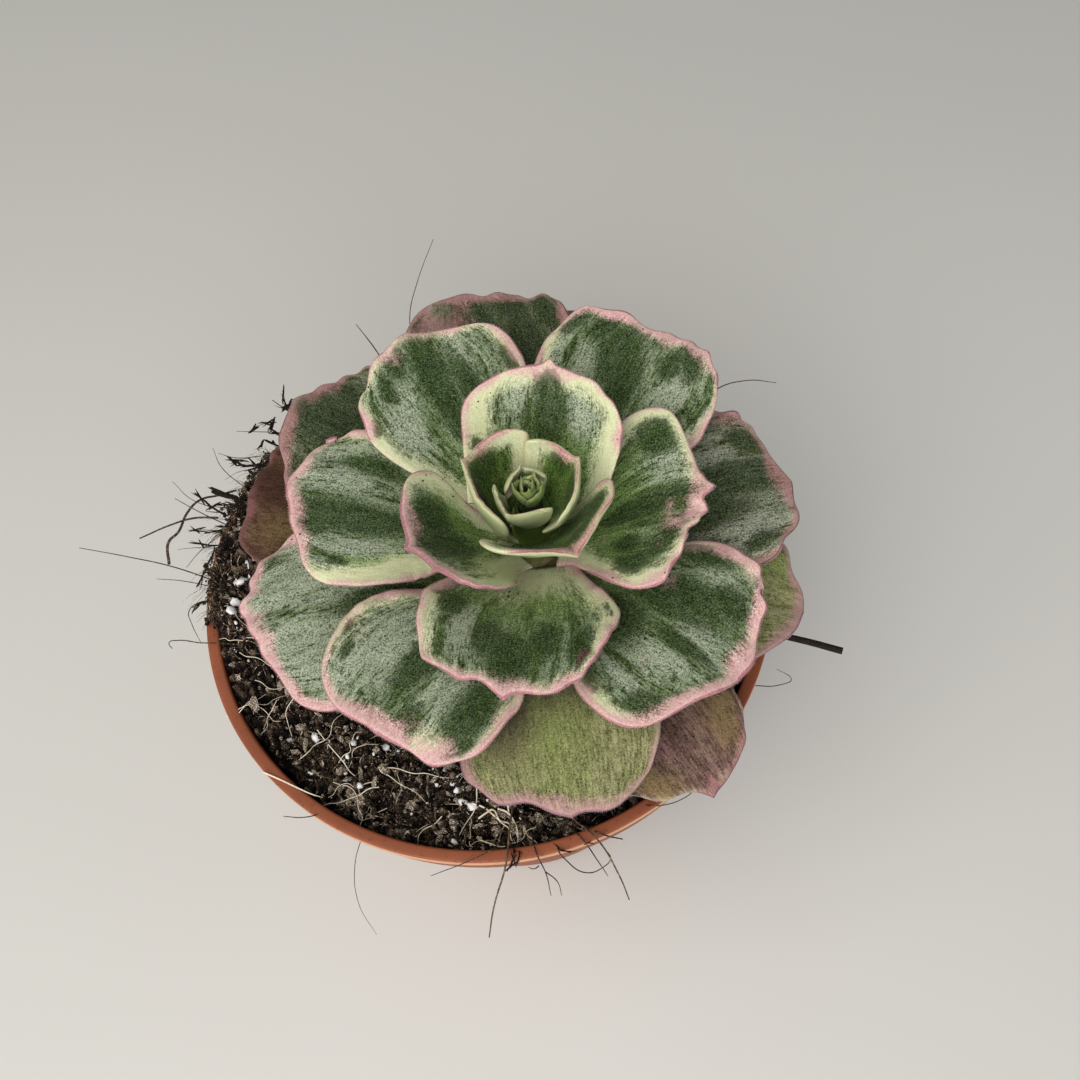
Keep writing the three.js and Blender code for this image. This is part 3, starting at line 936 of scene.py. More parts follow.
    def normal(self, surface: Callable[[Array, Array], Array], u: Array, v: Array) -> Array:
        """Find the normal of a surface, on the side that faces the plant's axis.

        Args:
            surface: Gives the points of the surface.
            u: Share of the way along.
            v: Share of the half width.

        Returns:
            Unit vectors.
        """
        step = self.SLOPE_STEP
        u, v = np.minimum(u, 0.97), np.clip(v, -0.97, 0.97)
        ahead = surface(np.minimum(u + step, 1.0), v) - surface(np.maximum(u - step, 0.0), v)
        beside = surface(u, np.minimum(v + step, 1.0)) - surface(u, np.maximum(v - step, -1.0))
        normal = np.cross(ahead, beside)
        return normal / np.linalg.norm(normal, axis=-1, keepdims=True)

    def surface(self, u: Array, v: Array) -> Array:
        """Middle surface with its waves."""
        return self.middle(u, v) + self.normal(self.middle, u, v) * self.lift(u, v)[..., None]

    def margin(self, u: Array, v: Array) -> Array:
        """Measure the distance to the margin.

        Args:
            u: Share of the way along.
            v: Share of the half width.

        Returns:
            The distance, in millimetres.
        """
        along, _, _, _ = self.flat(u, v)
        side = (1.0 - np.abs(v)) * self.half_width(np.minimum(along, self.length * 0.93))
        return np.minimum(side, (1.0 - u) * self.length)

    def skin(self, u: Array, v: Array, side: Array) -> Array:
        """Find points of the upper or lower skin, which meet in a round margin.

        Args:
            u: Share of the way along.
            v: Share of the half width.
            side: 1 for the upper skin and -1 for the lower one.

        Returns:
            The points, in millimetres.
        """
        depth = np.clip(self.margin(u, v) / self.ROUND_EDGE, 0.0, 1.0)
        roundness = np.maximum(np.sqrt(1.0 - (1.0 - depth) ** 2), self.LEAST_ROUNDNESS)
        half = 0.5 * side * self.thickness(u, v) * roundness
        return self.surface(u, v) + self.normal(self.surface, u, v) * half[..., None]

    def mesh(self, columns: int, rows: int) -> tuple[bpy.types.Mesh, Array, Array, Array]:
        """Bend a flat blank, a grid with a wall round it, into the leaf.

        Args:
            columns: Cells across.
            rows: Cells along.

        Returns:
            The mesh, and u, v and the side of each of its points.
        """
        bm = bmesh.new()
        bmesh.ops.create_grid(bm, x_segments=columns, y_segments=rows, size=1.0)
        bmesh.ops.solidify(bm, geom=bm.faces[:], thickness=1.0)
        blank = np.array([vert.co[:] for vert in bm.verts])
        crowd = 0.9 * math.pi / 2
        v = np.sin(np.clip(blank[:, 0], -1.0, 1.0) * crowd) / math.sin(crowd)
        u = np.sin((np.clip(blank[:, 1], -1.0, 1.0) + 1.0) / 2 * crowd) / math.sin(crowd)
        side = np.where(blank[:, 2] > -0.5, 1.0, -1.0)
        for vert, place in zip(bm.verts, self.skin(u, v, side)):
            vert.co = place
        return baked(bm), u, v, side


# Form of each leaf, from the youngest: its turn, reach, above, width, root, leave, end, neck, peak, blunt
# and keel.
BLADE_ROWS = (
    (104, 5, 32.5, 12, 27, 70, 82, 0.8, 0.66, 1.3, 0),
    (238, 7.5, 33.5, 17, 24.6, 64, 78, 0.8, 0.66, 1.4, 0.5),
    (14, 10.5, 35, 22, 22.2, 58, 72, 0.75, 0.66, 1.3, 1),
    (162, 12, 36.5, 26, 19.8, 54, 68, 0.7, 0.66, 1.3, 1),
    (294, 18, 35.5, 31, 17.4, 48, 58, 0.62, 0.66, 1.2, 1),
    (74, 24, 37, 34, 15.2, 42, 58, 0.5, 0.66, 1, 0),
    (206, 24.5, 33.5, 33, 13, 38, 46, 0.45, 0.66, 0.8, 0),
    (352, 32, 32, 39, 11, 37, 28, 0.38, 0.66, 0.8, 0),
    (118, 44.5, 31, 36, 9.8, 34, 22, 0.3, 0.66, 0.75, 0),
    (258, 39, 28.5, 38, 8.8, 36, 14, 0.28, 0.56, 0.95, 0.4),
    (50, 48.5, 28, 40, 7.9, 31, 12, 0.25, 0.66, 0.75, 0),
    (171, 47, 26, 35, 7, 30, 8, 0.24, 0.66, 0.75, 0),
    (311, 50, 21, 42, 6.2, 29, 2, 0.23, 0.66, 0.8, 0.4),
    (97, 58, 21.5, 39, 5.4, 27, 2, 0.22, 0.66, 0.75, 0),
    (231, 52, 19, 39, 4.6, 25, -4, 0.22, 0.66, 0.75, 0.4),
    (4, 52, 17, 38, 3.8, 24, -6, 0.22, 0.66, 0.75, 0),
    (144, 59, 17, 41, 3, 22, -4, 0.22, 0.66, 0.75, 0),
    (271, 56, 11, 38, 2.3, 20, -8, 0.22, 0.66, 0.75, 0.4),
    (81, 60, 13, 36, 1.6, 19, -6, 0.22, 0.66, 0.75, 0),
    (197, 59, 12, 37, 0.9, 18, -6, 0.22, 0.66, 0.75, 0),
    (338, 54.5, 8, 34, 0.2, 16, -8, 0.22, 0.66, 0.9, 0.8),
    (297, 59, 4.5, 33, -1.4, 14, -10, 0.22, 0.66, 0.8, 0.6),
    (163, 62, 7, 34, -1.2, 14, -8, 0.22, 0.66, 0.8, 0.6),
    (28, 50, 6, 32, -1.8, 12, -8, 0.22, 0.66, 0.8, 0.6),
    (123, 52, 2.5, 30, -3.2, 12, -8, 0.22, 0.66, 0.8, 0.6),
)

BLUNTED = {"point": 0.15}
# What the form of a leaf has of its own, by its index. The others are blunted.
HABITS = {
    0: {"point": 0.7, "flare": 0.3, "tuck": 1.6, "ripple": 0.25},
    1: {"point": 0.8, "fold": 1.2, "cup": 0.8, "tuck": 0.1, "ripple": 0.25},
    2: {"point": 0.7, "cup": -0.6, "tuck": 2.0, "sway": 0.6, "width": 24.5, "turn": 13.0, "ripple": 0.25},
    3: {"point": 0.7, "fold": 0.6, "cup": -0.5, "tuck": 1.5, "sway": 1.0, "width": 28.5, "ripple": 0.25},
    4: {
        "point": 0.9, "fold": 1.6, "cup": 0.6, "tuck": 0.9, "width": 32.5, "turn": 292.0, "end": 44.0,
        "ripple": 0.2,
    },
    5: {"point": 1.0, "flare": 0.4, "neck": 0.92, "ripple": 0.4},
    6: {"point": 0.9, "flare": 0.8, "cup": 1.0, "fold": 1.2, "ripple": 0.5},
    7: {"point": 0.9},
    9: {"point": 0.9, "neck": 0.55},
    16: {"point": 0.15, "width": 38.0, "turn": 142.0},
    17: {"point": 0.4},
    19: {"point": 0.15, "width": 41.0, "turn": 195.0},
    21: {"point": 0.8},
    22: {"point": 0.15, "width": 38.0, "turn": 159.0, "reach": 64.5},
}


def young(**fields: object) -> Look:
    """Look of a leaf of the heart."""
    return Look(YOUNG_LEAF, "leaf_young", **fields)


def grown(**fields: object) -> Look:
    """Look of a full-grown leaf."""
    return Look(GROWN_LEAF, "leaf_grown", **fields)


def shaded(**fields: object) -> Look:
    """Look of a full-grown leaf at the back, darkened as painted shade."""
    return Look(SHADED_LEAF, "leaf_grown", **fields)


def old(finish: VelvetLeaf, **fields: object) -> Look:
    """Look of a leaf of the lowest ring."""
    return Look(finish, "leaf_old", **fields)


# One look for each leaf, from the youngest.
LOOKS = (
    young(cream=Band(2.0, 0.9, 2.0), blush=Band(-0.6, 0.4, -0.6), grey=-0.4),
    young(cream=Band(2.4, 1.0, 2.4), blush=Band(-0.4, 1.0, -0.4), grey=-0.4),
    young(cream=Band(3.2, 0.8, 4.4), blush=Band(-0.2, 1.0, -0.2), grey=-0.4, strokes={
        Tone.DARK: ((0.72, 0.3, 0.22, 0.22), (0.65, -0.3, 0.25, 0.3)),
        Tone.GLOW: ((0.35, 0.0, 0.3, 1.0),),
    }),
    young(cream=Band(4.8, 0.8, 3.0), blush=Band(0.2, 1.0, -0.4), grey=-0.4, strokes={
        Tone.DARK: ((0.75, -0.2, 0.2, 0.26), (0.7, 0.25, 0.22, 0.25)),
        Tone.GLOW: ((0.35, 0.0, 0.3, 1.0),),
    }),
    young(cream=Band(3.2, 1.2, 3.0), blush=Band(0.3, 1.5, 0.7), grey=-0.4, strokes={
        Tone.DARK: ((0.75, 0.6, 0.15, 0.22), (0.74, -0.4, 0.2, 0.3), (0.8, 0.2, 0.12, 0.2)),
        Tone.GLOW: ((0.35, 0.0, 0.3, 1.0),),
    }),
    grown(cream=Band(5.0, 3.2, 6.0), blush=Band(0.7, 1.5, 0.2), grey=0.0, strokes={
        Tone.DARK: ((0.88, 0.0, 0.2, 0.17), (0.68, -0.05, 0.24, 0.2), (0.48, 0.86, 0.08, 0.12)),
        Tone.SILVER: ((0.8, 0.33, 0.16, 0.13), (0.75, -0.42, 0.14, 0.17), (0.85, 0.1, 0.12, 0.05)),
        Tone.GLOW: ((0.34, 0.0, 0.22, 1.0),),
    }),
    grown(cream=Band(4.4, 1.4, 6.0), blush=Band(0.9, 2.2, 0.2), grey=-0.3, strokes={
        Tone.DARK: ((0.75, -0.35, 0.22, 0.25), (0.66, 0.0, 0.26, 0.22), (0.9, -0.1, 0.1, 0.2)),
        Tone.CREAM: ((0.4, 0.62, 0.3, 0.3), (0.45, -0.85, 0.2, 0.16)),
        Tone.GLOW: ((0.42, 0.3, 0.25, 0.7), (0.4, -0.5, 0.3, 0.5)),
    }),
    grown(cream=Band(4.8, 1.6, 3.4), blush=Band(1.6, 1.3, 0.5), grey=-0.7, strokes={
        Tone.DARK: (
            (0.8, 0.65, 0.11, 0.2), (0.65, -0.03, 0.35, 0.13), (0.88, -0.4, 0.08, 0.1),
            (0.62, -0.72, 0.12, 0.16), (0.8, -0.55, 0.07, 0.1), (0.55, -0.45, 0.1, 0.12),
        ),
        Tone.SILVER: ((0.82, 0.33, 0.12, 0.12),),
        Tone.BLUSH: ((0.97, -0.28, 0.07, 0.16),),
        Tone.GLOW: ((0.38, 0.0, 0.2, 1.0),),
    }),
    grown(cream=Band(4.5, 1.7, 3.4), blush=Band(1.4, 1.6, 0.8), grey=-0.1, strokes={
        Tone.DARK: (
            (0.7, 0.02, 0.3, 0.16), (0.93, 0.3, 0.08, 0.12), (0.86, 0.52, 0.07, 0.1),
            (0.76, 0.86, 0.05, 0.08),
            (0.72, -0.86, 0.1, 0.1), (0.6, -0.3, 0.3, 0.12), (0.85, -0.1, 0.12, 0.08),
        ),
        Tone.SILVER: ((0.88, -0.4, 0.13, 0.14), (0.62, 0.65, 0.18, 0.22)),
    }),
    grown(cream=Band(3.6, 1.5, 3.6), blush=Band(2.0, 1.9, 1.2), grey=-0.3, strokes={
        Tone.DARK: (
            (0.82, 0.0, 0.16, 0.2), (0.45, -0.9, 0.12, 0.14), (0.55, -0.68, 0.09, 0.14),
            (0.7, -0.25, 0.12, 0.12),
            (0.55, 0.95, 0.1, 0.08), (0.78, 0.64, 0.1, 0.12), (0.7, 0.3, 0.12, 0.14),
        ),
        Tone.SILVER: ((0.7, -0.48, 0.17, 0.12),),
        # Painted shade near the tip.
        Tone.PAINTED_SHADE: ((0.88, 0.72, 0.05, 0.07),),
        Tone.GLOW: ((0.36, 0.3, 0.16, 0.5), (0.26, 0.0, 0.3, 1.0)),
        # Painted light: a cream patch at the base, which is brightly lit from above.
        Tone.CREAM: ((0.14, 0.1, 0.2, 0.8),),
    }),
    grown(cream=Band(2.4, 1.5, 3.0), blush=Band(2.0, 2.4, 0.8), grey=-0.25, strokes={
        Tone.DARK: (
            (0.9, 0.86, 0.07, 0.14), (0.9, 0.5, 0.08, 0.12), (0.8, 0.22, 0.14, 0.2), (0.66, 0.02, 0.16, 0.14),
            (0.92, -0.5, 0.08, 0.12), (0.85, -0.3, 0.07, 0.1), (0.6, 0.97, 0.1, 0.06),
        ),
        Tone.SILVER: (
            (0.75, 0.85, 0.12, 0.14), (0.68, 0.42, 0.12, 0.12), (0.8, -0.95, 0.1, 0.1),
            (0.72, -0.45, 0.14, 0.15),
        ),
    }),
    grown(cream=Band(3.4, 1.4, 6.5), blush=Band(1.2, 2.1, 0.8), grey=0.15, strokes={
        Tone.DARK: (
            (0.68, -0.52, 0.16, 0.12), (0.75, 0.14, 0.35, 0.2), (0.92, 0.3, 0.1, 0.14),
            (0.8, 0.68, 0.05, 0.06),
        ),
        Tone.SILVER: ((0.82, -0.32, 0.16, 0.14), (0.72, 0.48, 0.16, 0.12), (0.9, -0.6, 0.08, 0.1)),
        Tone.GLOW: ((0.6, 0.66, 0.16, 0.12),),
    }),
    grown(cream=Band(4.0, 1.4, 3.0), blush=Band(1.5, 2.6, 2.0), grey=-0.2, strokes={
        Tone.DARK: (
            (0.62, 0.86, 0.14, 0.16), (0.6, 0.3, 0.25, 0.22), (0.82, 0.5, 0.1, 0.14), (0.6, -0.88, 0.1, 0.12),
            (0.86, -0.68, 0.07, 0.14), (0.75, -0.05, 0.12, 0.08), (0.45, -0.2, 0.15, 0.3),
        ),
        Tone.SILVER: (
            (0.8, 0.1, 0.12, 0.1), (0.75, -0.28, 0.2, 0.1), (0.75, 0.62, 0.1, 0.1), (0.68, -0.6, 0.12, 0.12),
        ),
        Tone.BLUSH: ((0.97, -0.48, 0.06, 0.22),),
    }),
    shaded(cream=Band(0.8, 0.6, 0.8), blush=Band(2.6, 2.6, 2.6), grey=-0.3, strokes={
        Tone.DARK: (
            (0.93, -0.35, 0.08, 0.2), (0.88, -0.72, 0.1, 0.14), (0.9, 0.75, 0.08, 0.12),
            (0.8, 0.1, 0.2, 0.25),
            (0.7, -0.4, 0.2, 0.2),
        ),
        Tone.BLUSH: ((0.85, 0.5, 0.14, 0.3),),
    }),
    grown(cream=Band(2.4, 1.4, 3.0), blush=Band(0.7, 2.6, 1.8), grey=0.0, strokes={
        Tone.DARK: (
            (0.55, -0.95, 0.08, 0.05), (0.76, -0.88, 0.04, 0.05), (0.82, -0.72, 0.04, 0.06),
            (0.62, -0.08, 0.2, 0.14), (0.76, 0.62, 0.14, 0.2), (0.92, 0.76, 0.06, 0.12),
            (0.88, 0.18, 0.06, 0.1),
        ),
        Tone.SILVER: ((0.7, -0.5, 0.3, 0.3), (0.7, 0.3, 0.2, 0.14)),
        Tone.CREAM: ((0.96, 0.48, 0.07, 0.2),),
        Tone.BLUSH: ((0.97, 0.5, 0.07, 0.24),),
    }),
    shaded(cream=Band(3.4, 0.8, 0.8), blush=Band(1.4, 2.4, 2.6), grey=0.0, strokes={
        Tone.DARK: (
            (0.75, 0.12, 0.35, 0.2), (0.9, 0.55, 0.08, 0.15), (0.85, -0.65, 0.06, 0.1),
            (0.6, -0.2, 0.2, 0.2),
        ),
        Tone.SILVER: ((0.7, 0.42, 0.15, 0.14), (0.78, -0.48, 0.18, 0.16)),
        Tone.CREAM: ((0.78, -0.92, 0.1, 0.1),),
    }),
    shaded(cream=Band(0.8, 0.6, 0.8), blush=Band(2.6, 2.6, 2.6), grey=-0.25, strokes={
        Tone.DARK: (
            (0.8, 0.1, 0.2, 0.3), (0.9, -0.3, 0.1, 0.2), (0.85, 0.7, 0.1, 0.15), (0.6, -0.1, 0.3, 0.3),
        ),
    }),
    old(AGED_LEAF, cream=Band(0.0, 0.0, 0.0), blush=Band(1.7, 1.7, 1.7), grey=-0.4, strokes={
        # Painted shade where this leaf lies in shadow.
        Tone.PAINTED_SHADE: ((0.55, -0.5, 0.22, 0.3), (0.45, 0.2, 0.15, 0.6)),
        Tone.GLOW: ((0.6, -0.05, 0.3, 0.3),),
    }),
    # Painted shade darkens this whole leaf.
    old(AGED_LEAF, cream=Band(0.0, 0.0, 0.0), blush=Band(2.0, 2.0, 2.0), dusk=0.2),
    grown(cream=Band(0.8, 0.8, 1.6), blush=Band(3.4, 2.7, 2.2), grey=0.15, strokes={
        Tone.DARK: ((0.5, 0.0, 0.2, 0.12),),
        Tone.SILVER: ((0.8, -0.4, 0.25, 0.4), (0.8, 0.3, 0.2, 0.3)),
    }),
    old(AGED_LEAF, cream=Band(0.0, 0.0, 0.0), blush=Band(2.4, 2.2, 2.3), grey=-0.4, strokes={
        Tone.GLOW: ((0.85, 0.5, 0.14, 0.25),),
    }),
    old(WITHERED_LEAF, cream=Band(0.0, 0.0, 0.0), blush=Band(1.2, 1.0, 1.2), grey=-0.4, strokes={
        Tone.GLOW: ((0.85, 0.65, 0.12, 0.25), (0.93, -0.5, 0.08, 0.25)),
        Tone.BLUSH: ((1.0, 0.1, 0.05, 0.05),),
    }),
    old(DRIED_LEAF, cream=Band(-1.0, -1.0, -1.0), blush=Band(2.4, 2.0, 2.4), grey=-0.6, strokes={
        Tone.GLOW: ((0.8, -0.45, 0.1, 0.2), (0.75, 0.45, 0.14, 0.3)),
        # Painted shadow, as this leaf lies in the shadow of others.
        Tone.PAINTED_SHADE: ((0.75, -0.05, 0.3, 0.25),),
    }),
    old(DRIED_LEAF, cream=Band(0.0, 0.0, 0.0)),
    old(DRIED_LEAF, cream=Band(0.0, 0.0, 0.0)),
)


@dataclass(frozen=True)
class Rosette:
    """The leaves, the bud in their middle, the hairs along the margins and specks of soil on them."""

    columns: int = 56
    rows: int = 56
    bud_columns: int = 16
    bud_rows: int = 20
    bud_leaves: int = 6
    hair_spacing: float = 0.36
    hair_length: float = 0.32
    hair_width: float = 0.06
    hair_tip: float = 0.024
    young_share: float = 0.6
    # Leaf, place along and across it, number of specks and how far they spread.
    specks: tuple[tuple[int, float, float, int, float], ...] = (
        (6, 0.62, -0.85, 12, 0.12), (6, 0.45, -0.3, 12, 0.1), (8, 0.5, 0.75, 10, 0.1),
        (9, 0.33, -0.1, 14, 0.07), (8, 0.93, 0.75, 4, 0.03), (6, 0.7, 0.1, 8, 0.25),
        (14, 0.72, -0.35, 6, 0.2), (12, 0.75, -0.2, 4, 0.2), (5, 0.8, 0.75, 3, 0.08), (5, 0.7, -0.8, 3, 0.1),
        (7, 0.75, -0.2, 8, 0.25), (11, 0.75, 0.1, 7, 0.25), (4, 0.75, -0.6, 4, 0.15),
        (10, 0.75, 0.1, 6, 0.25), (19, 0.75, -0.2, 4, 0.2), (3, 0.6, 0.3, 5, 0.2),
    )

    ABSENT = -1.2
    MOST = 1.25

    @cached_property
    def blades(self) -> list[Blade]:
        """The large leaves, from the youngest to the oldest."""
        return [replace(Blade(k, *row), **HABITS.get(k, BLUNTED)) for k, row in enumerate(BLADE_ROWS)]

    @cached_property
    def bud_blades(self) -> list[Blade]:
        """The very small leaves of the bud, each a golden turn on and a little smaller."""
        return [
            Blade(
                index=k, turn=BLADE_ROWS[0][0] - GOLDEN_TURN * k, reach=3.3 - 0.4 * k, above=33 - 0.1 * k,
                width=7.2 - 0.7 * k, root=26.4 + 0.5 * k, leave=74, end=86, neck=0.8, peak=0.66, blunt=1.2,
                keel=0, seat=1.6 - 0.12 * k,
            )
            for k in range(1, self.bud_leaves + 1)
        ]

    def paint(self, mesh: bpy.types.Mesh, blade: Blade, look: Look, u: Array, v: Array, side: Array) -> None:
        """Store where each tone lies on a leaf, for its finish to read.

        Args:
            mesh: The leaf's mesh.
            blade: Its form.
            look: Its colours.
            u: Share of the way along, for each point.
            v: Share of the half width, for each point.
            side: 1 on the upper skin and -1 on the lower one.
        """
        along, _, around, _ = blade.flat(u, v)
        margin = blade.margin(u, v)
        fields = {tone.value: np.full_like(u, self.ABSENT) for tone in Tone}
        fields |= {"dusk": np.full_like(u, look.dusk), "grey": np.full_like(u, look.grey)}
        fields |= {"cream": look.cream.inside(around, margin), "blush": look.blush.inside(around, margin)}
        for tone, spots in look.strokes.items():
            for middle_u, middle_v, long, wide in spots:
                far = np.hypot((u - middle_u) / long, (v - middle_v) / wide)
                stroke = np.clip(self.MOST * (1.0 - far), self.ABSENT, 1.0)
                fields[tone.value] = np.maximum(fields[tone.value], stroke)
        fields["dark"] = np.minimum(fields["dark"], margin / 1.2 - 1.0)
        fields["glow"] = np.maximum(fields["glow"], 0.9 - 2.4 * u)
        fields |= {"margin": margin, "under": np.where(side < 0.0, 1.0, 0.0)}
        packs = {name: [fields[part] for part in parts] for name, parts in STORES.items()}
        packs["grain"] = [v * 0.5 * blade.width, along * 0.16, np.full_like(u, 7.3 * blade.index)]
        for name, columns in packs.items():
            store = mesh.attributes.new(name, "FLOAT_VECTOR", "POINT")
            store.data.foreach_set("vector", np.stack(columns, axis=-1).astype(np.float32).ravel())

    def build_leaves(self) -> None:
        """Build each large leaf as a piece of its own."""
        for blade, look in zip(self.blades, LOOKS):
            mesh, u, v, side = blade.mesh(self.columns, self.rows)
            self.paint(mesh, blade, look, u, v, side)
            number = f"{blade.index + 1:02d}"
            show(f"aeonium_leaf_{number}", mesh, look.finish, look.slot, f"leaf_{number}")

    def build_bud(self) -> None:
        """Build the tight whorl at the growing tip on its tapering core."""
        look = young(
            cream=Band(0.3, 0.3, 0.3), blush=Band(-3.0, -3.0, -3.0), grey=-0.8,
            # A dark patch over most of the bud, as painted shade.
            strokes={Tone.DARK: ((0.6, 0.0, 0.5, 0.9),)},
        )
        parts = []
        for blade in self.bud_blades:
            mesh, u, v, side = blade.mesh(self.bud_columns, self.bud_rows)
            self.paint(mesh, blade, look, u, v, side)
            parts.append(mesh)
        bottom = STEM_TOP + NODE_GAP
        core = spun([(0, bottom), (2.5, bottom), (2.3, bottom + 3), (1.5, 30), (0, 31)], 24)
        bmesh.ops.translate(core, vec=(*PLANT_AXIS, RIM_HEIGHT), verts=core.verts[:])
        mesh = baked(core)
        flat = np.zeros(len(mesh.vertices))
        self.paint(mesh, self.bud_blades[0], look, flat + 0.3, flat, flat + 1.0)
        parts.append(mesh)
        holders = [bpy.data.objects.new("part", part) for part in parts]
        for holder in holders:
            bpy.context.scene.collection.objects.link(holder)
        with bpy.context.temp_override(active_object=holders[0], selected_editable_objects=holders):
            bpy.ops.object.join()
        whole = holders[0].data
        bpy.data.objects.remove(holders[0])
        show("aeonium_bud", whole, BUD_LEAF, "leaf_young", "bud")

    def margin_route(self, blade: Blade) -> tuple[Array, Array, Array]:
        """Step along the margin of a leaf from one side over the tip to the other.

        Args:
            blade: The leaf.

        Returns:
            Evenly spaced points, the way out of the leaf there, and its normal.
        """
        side = np.linspace(0.3, 1.0, 160)
        tip = np.linspace(-1.0, 1.0, 240)
        u = np.concatenate([side, np.ones_like(tip), side[::-1]])
        v = np.concatenate([-np.ones_like(side), tip, np.ones_like(side)])
        line = blade.surface(u, v)
        gone = np.concatenate([[0.0], np.cumsum(np.linalg.norm(np.diff(line, axis=0), axis=1))])
        stops = np.arange(0.0, gone[-1], self.hair_spacing)
        u, v = np.interp(stops, gone, u), np.interp(stops, gone, v)
        out = blade.surface(u, v) - blade.surface(u * 0.97, v * 0.97)
        out /= np.linalg.norm(out, axis=1, keepdims=True)
        return blade.surface(u, v), out, blade.normal(blade.surface, u, v)

    def build_fringe(self) -> None:
        """Build the fine white hairs along the margins, one piece for each ring of leaves."""
        draw = random.Random(11)
        for ring, first, end in (("young", 0, 5), ("grown", 5, 17), ("old", 17, None)):
            places = []
            for blade in self.blades[first:end]:
                for root, out, normal in zip(*self.margin_route(blade)):
                    way = Vector(out) + Vector(normal) * draw.uniform(-0.45, 0.45)
                    way += Vector([draw.uniform(-0.35, 0.35) for _ in range(3)])
                    share = self.young_share if ring == "young" else 1.0
                    length = self.hair_length * draw.uniform(0.55, 1.2) * share
                    places.append(placed(Vector(root), pointed(way), (1.0, 1.0, length)))
            hair = bmesh.new()
            bmesh.ops.create_cone(
                hair, cap_ends=True, segments=3, radius1=self.hair_width / 2, radius2=self.hair_tip / 2,
                depth=1.0, matrix=Matrix.Translation((0.0, 0.0, 0.4)),
            )
            show(f"margin_hairs_{ring}", copies([hair], places), LEAF_DOWN, f"leaf_{ring}")

    def build_specks(self) -> None:
        """Build the specks of soil that lie on the leaves, thickest at the left of the heart."""
        draw = random.Random(5)
        places = []
        for index, along, across, count, spread in self.specks:
            blade = self.blades[index]
            u = np.clip([draw.gauss(along, spread) for _ in range(count)], 0.3, 0.97)
            v = np.clip([draw.gauss(across, 1.6 * spread) for _ in range(count)], -0.95, 0.95)
            for place, normal in zip(blade.skin(u, v, np.ones(count)), blade.normal(blade.surface, u, v)):
                size = draw.uniform(0.08, 0.24)
                seat = Vector(place) + Vector(normal) * size * 0.3
                places.append(dropped(draw, seat, size, (0.6, 1.0), (0.5, 0.9)))
        show("soil_specks", copies([crumb_shape(k, 1) for k in range(3)], places), DARK_BARK, "soil")

    def build(self) -> None:
        """Build the whole rosette."""
        self.build_leaves()
        self.build_bud()
        self.build_fringe()
        self.build_specks()


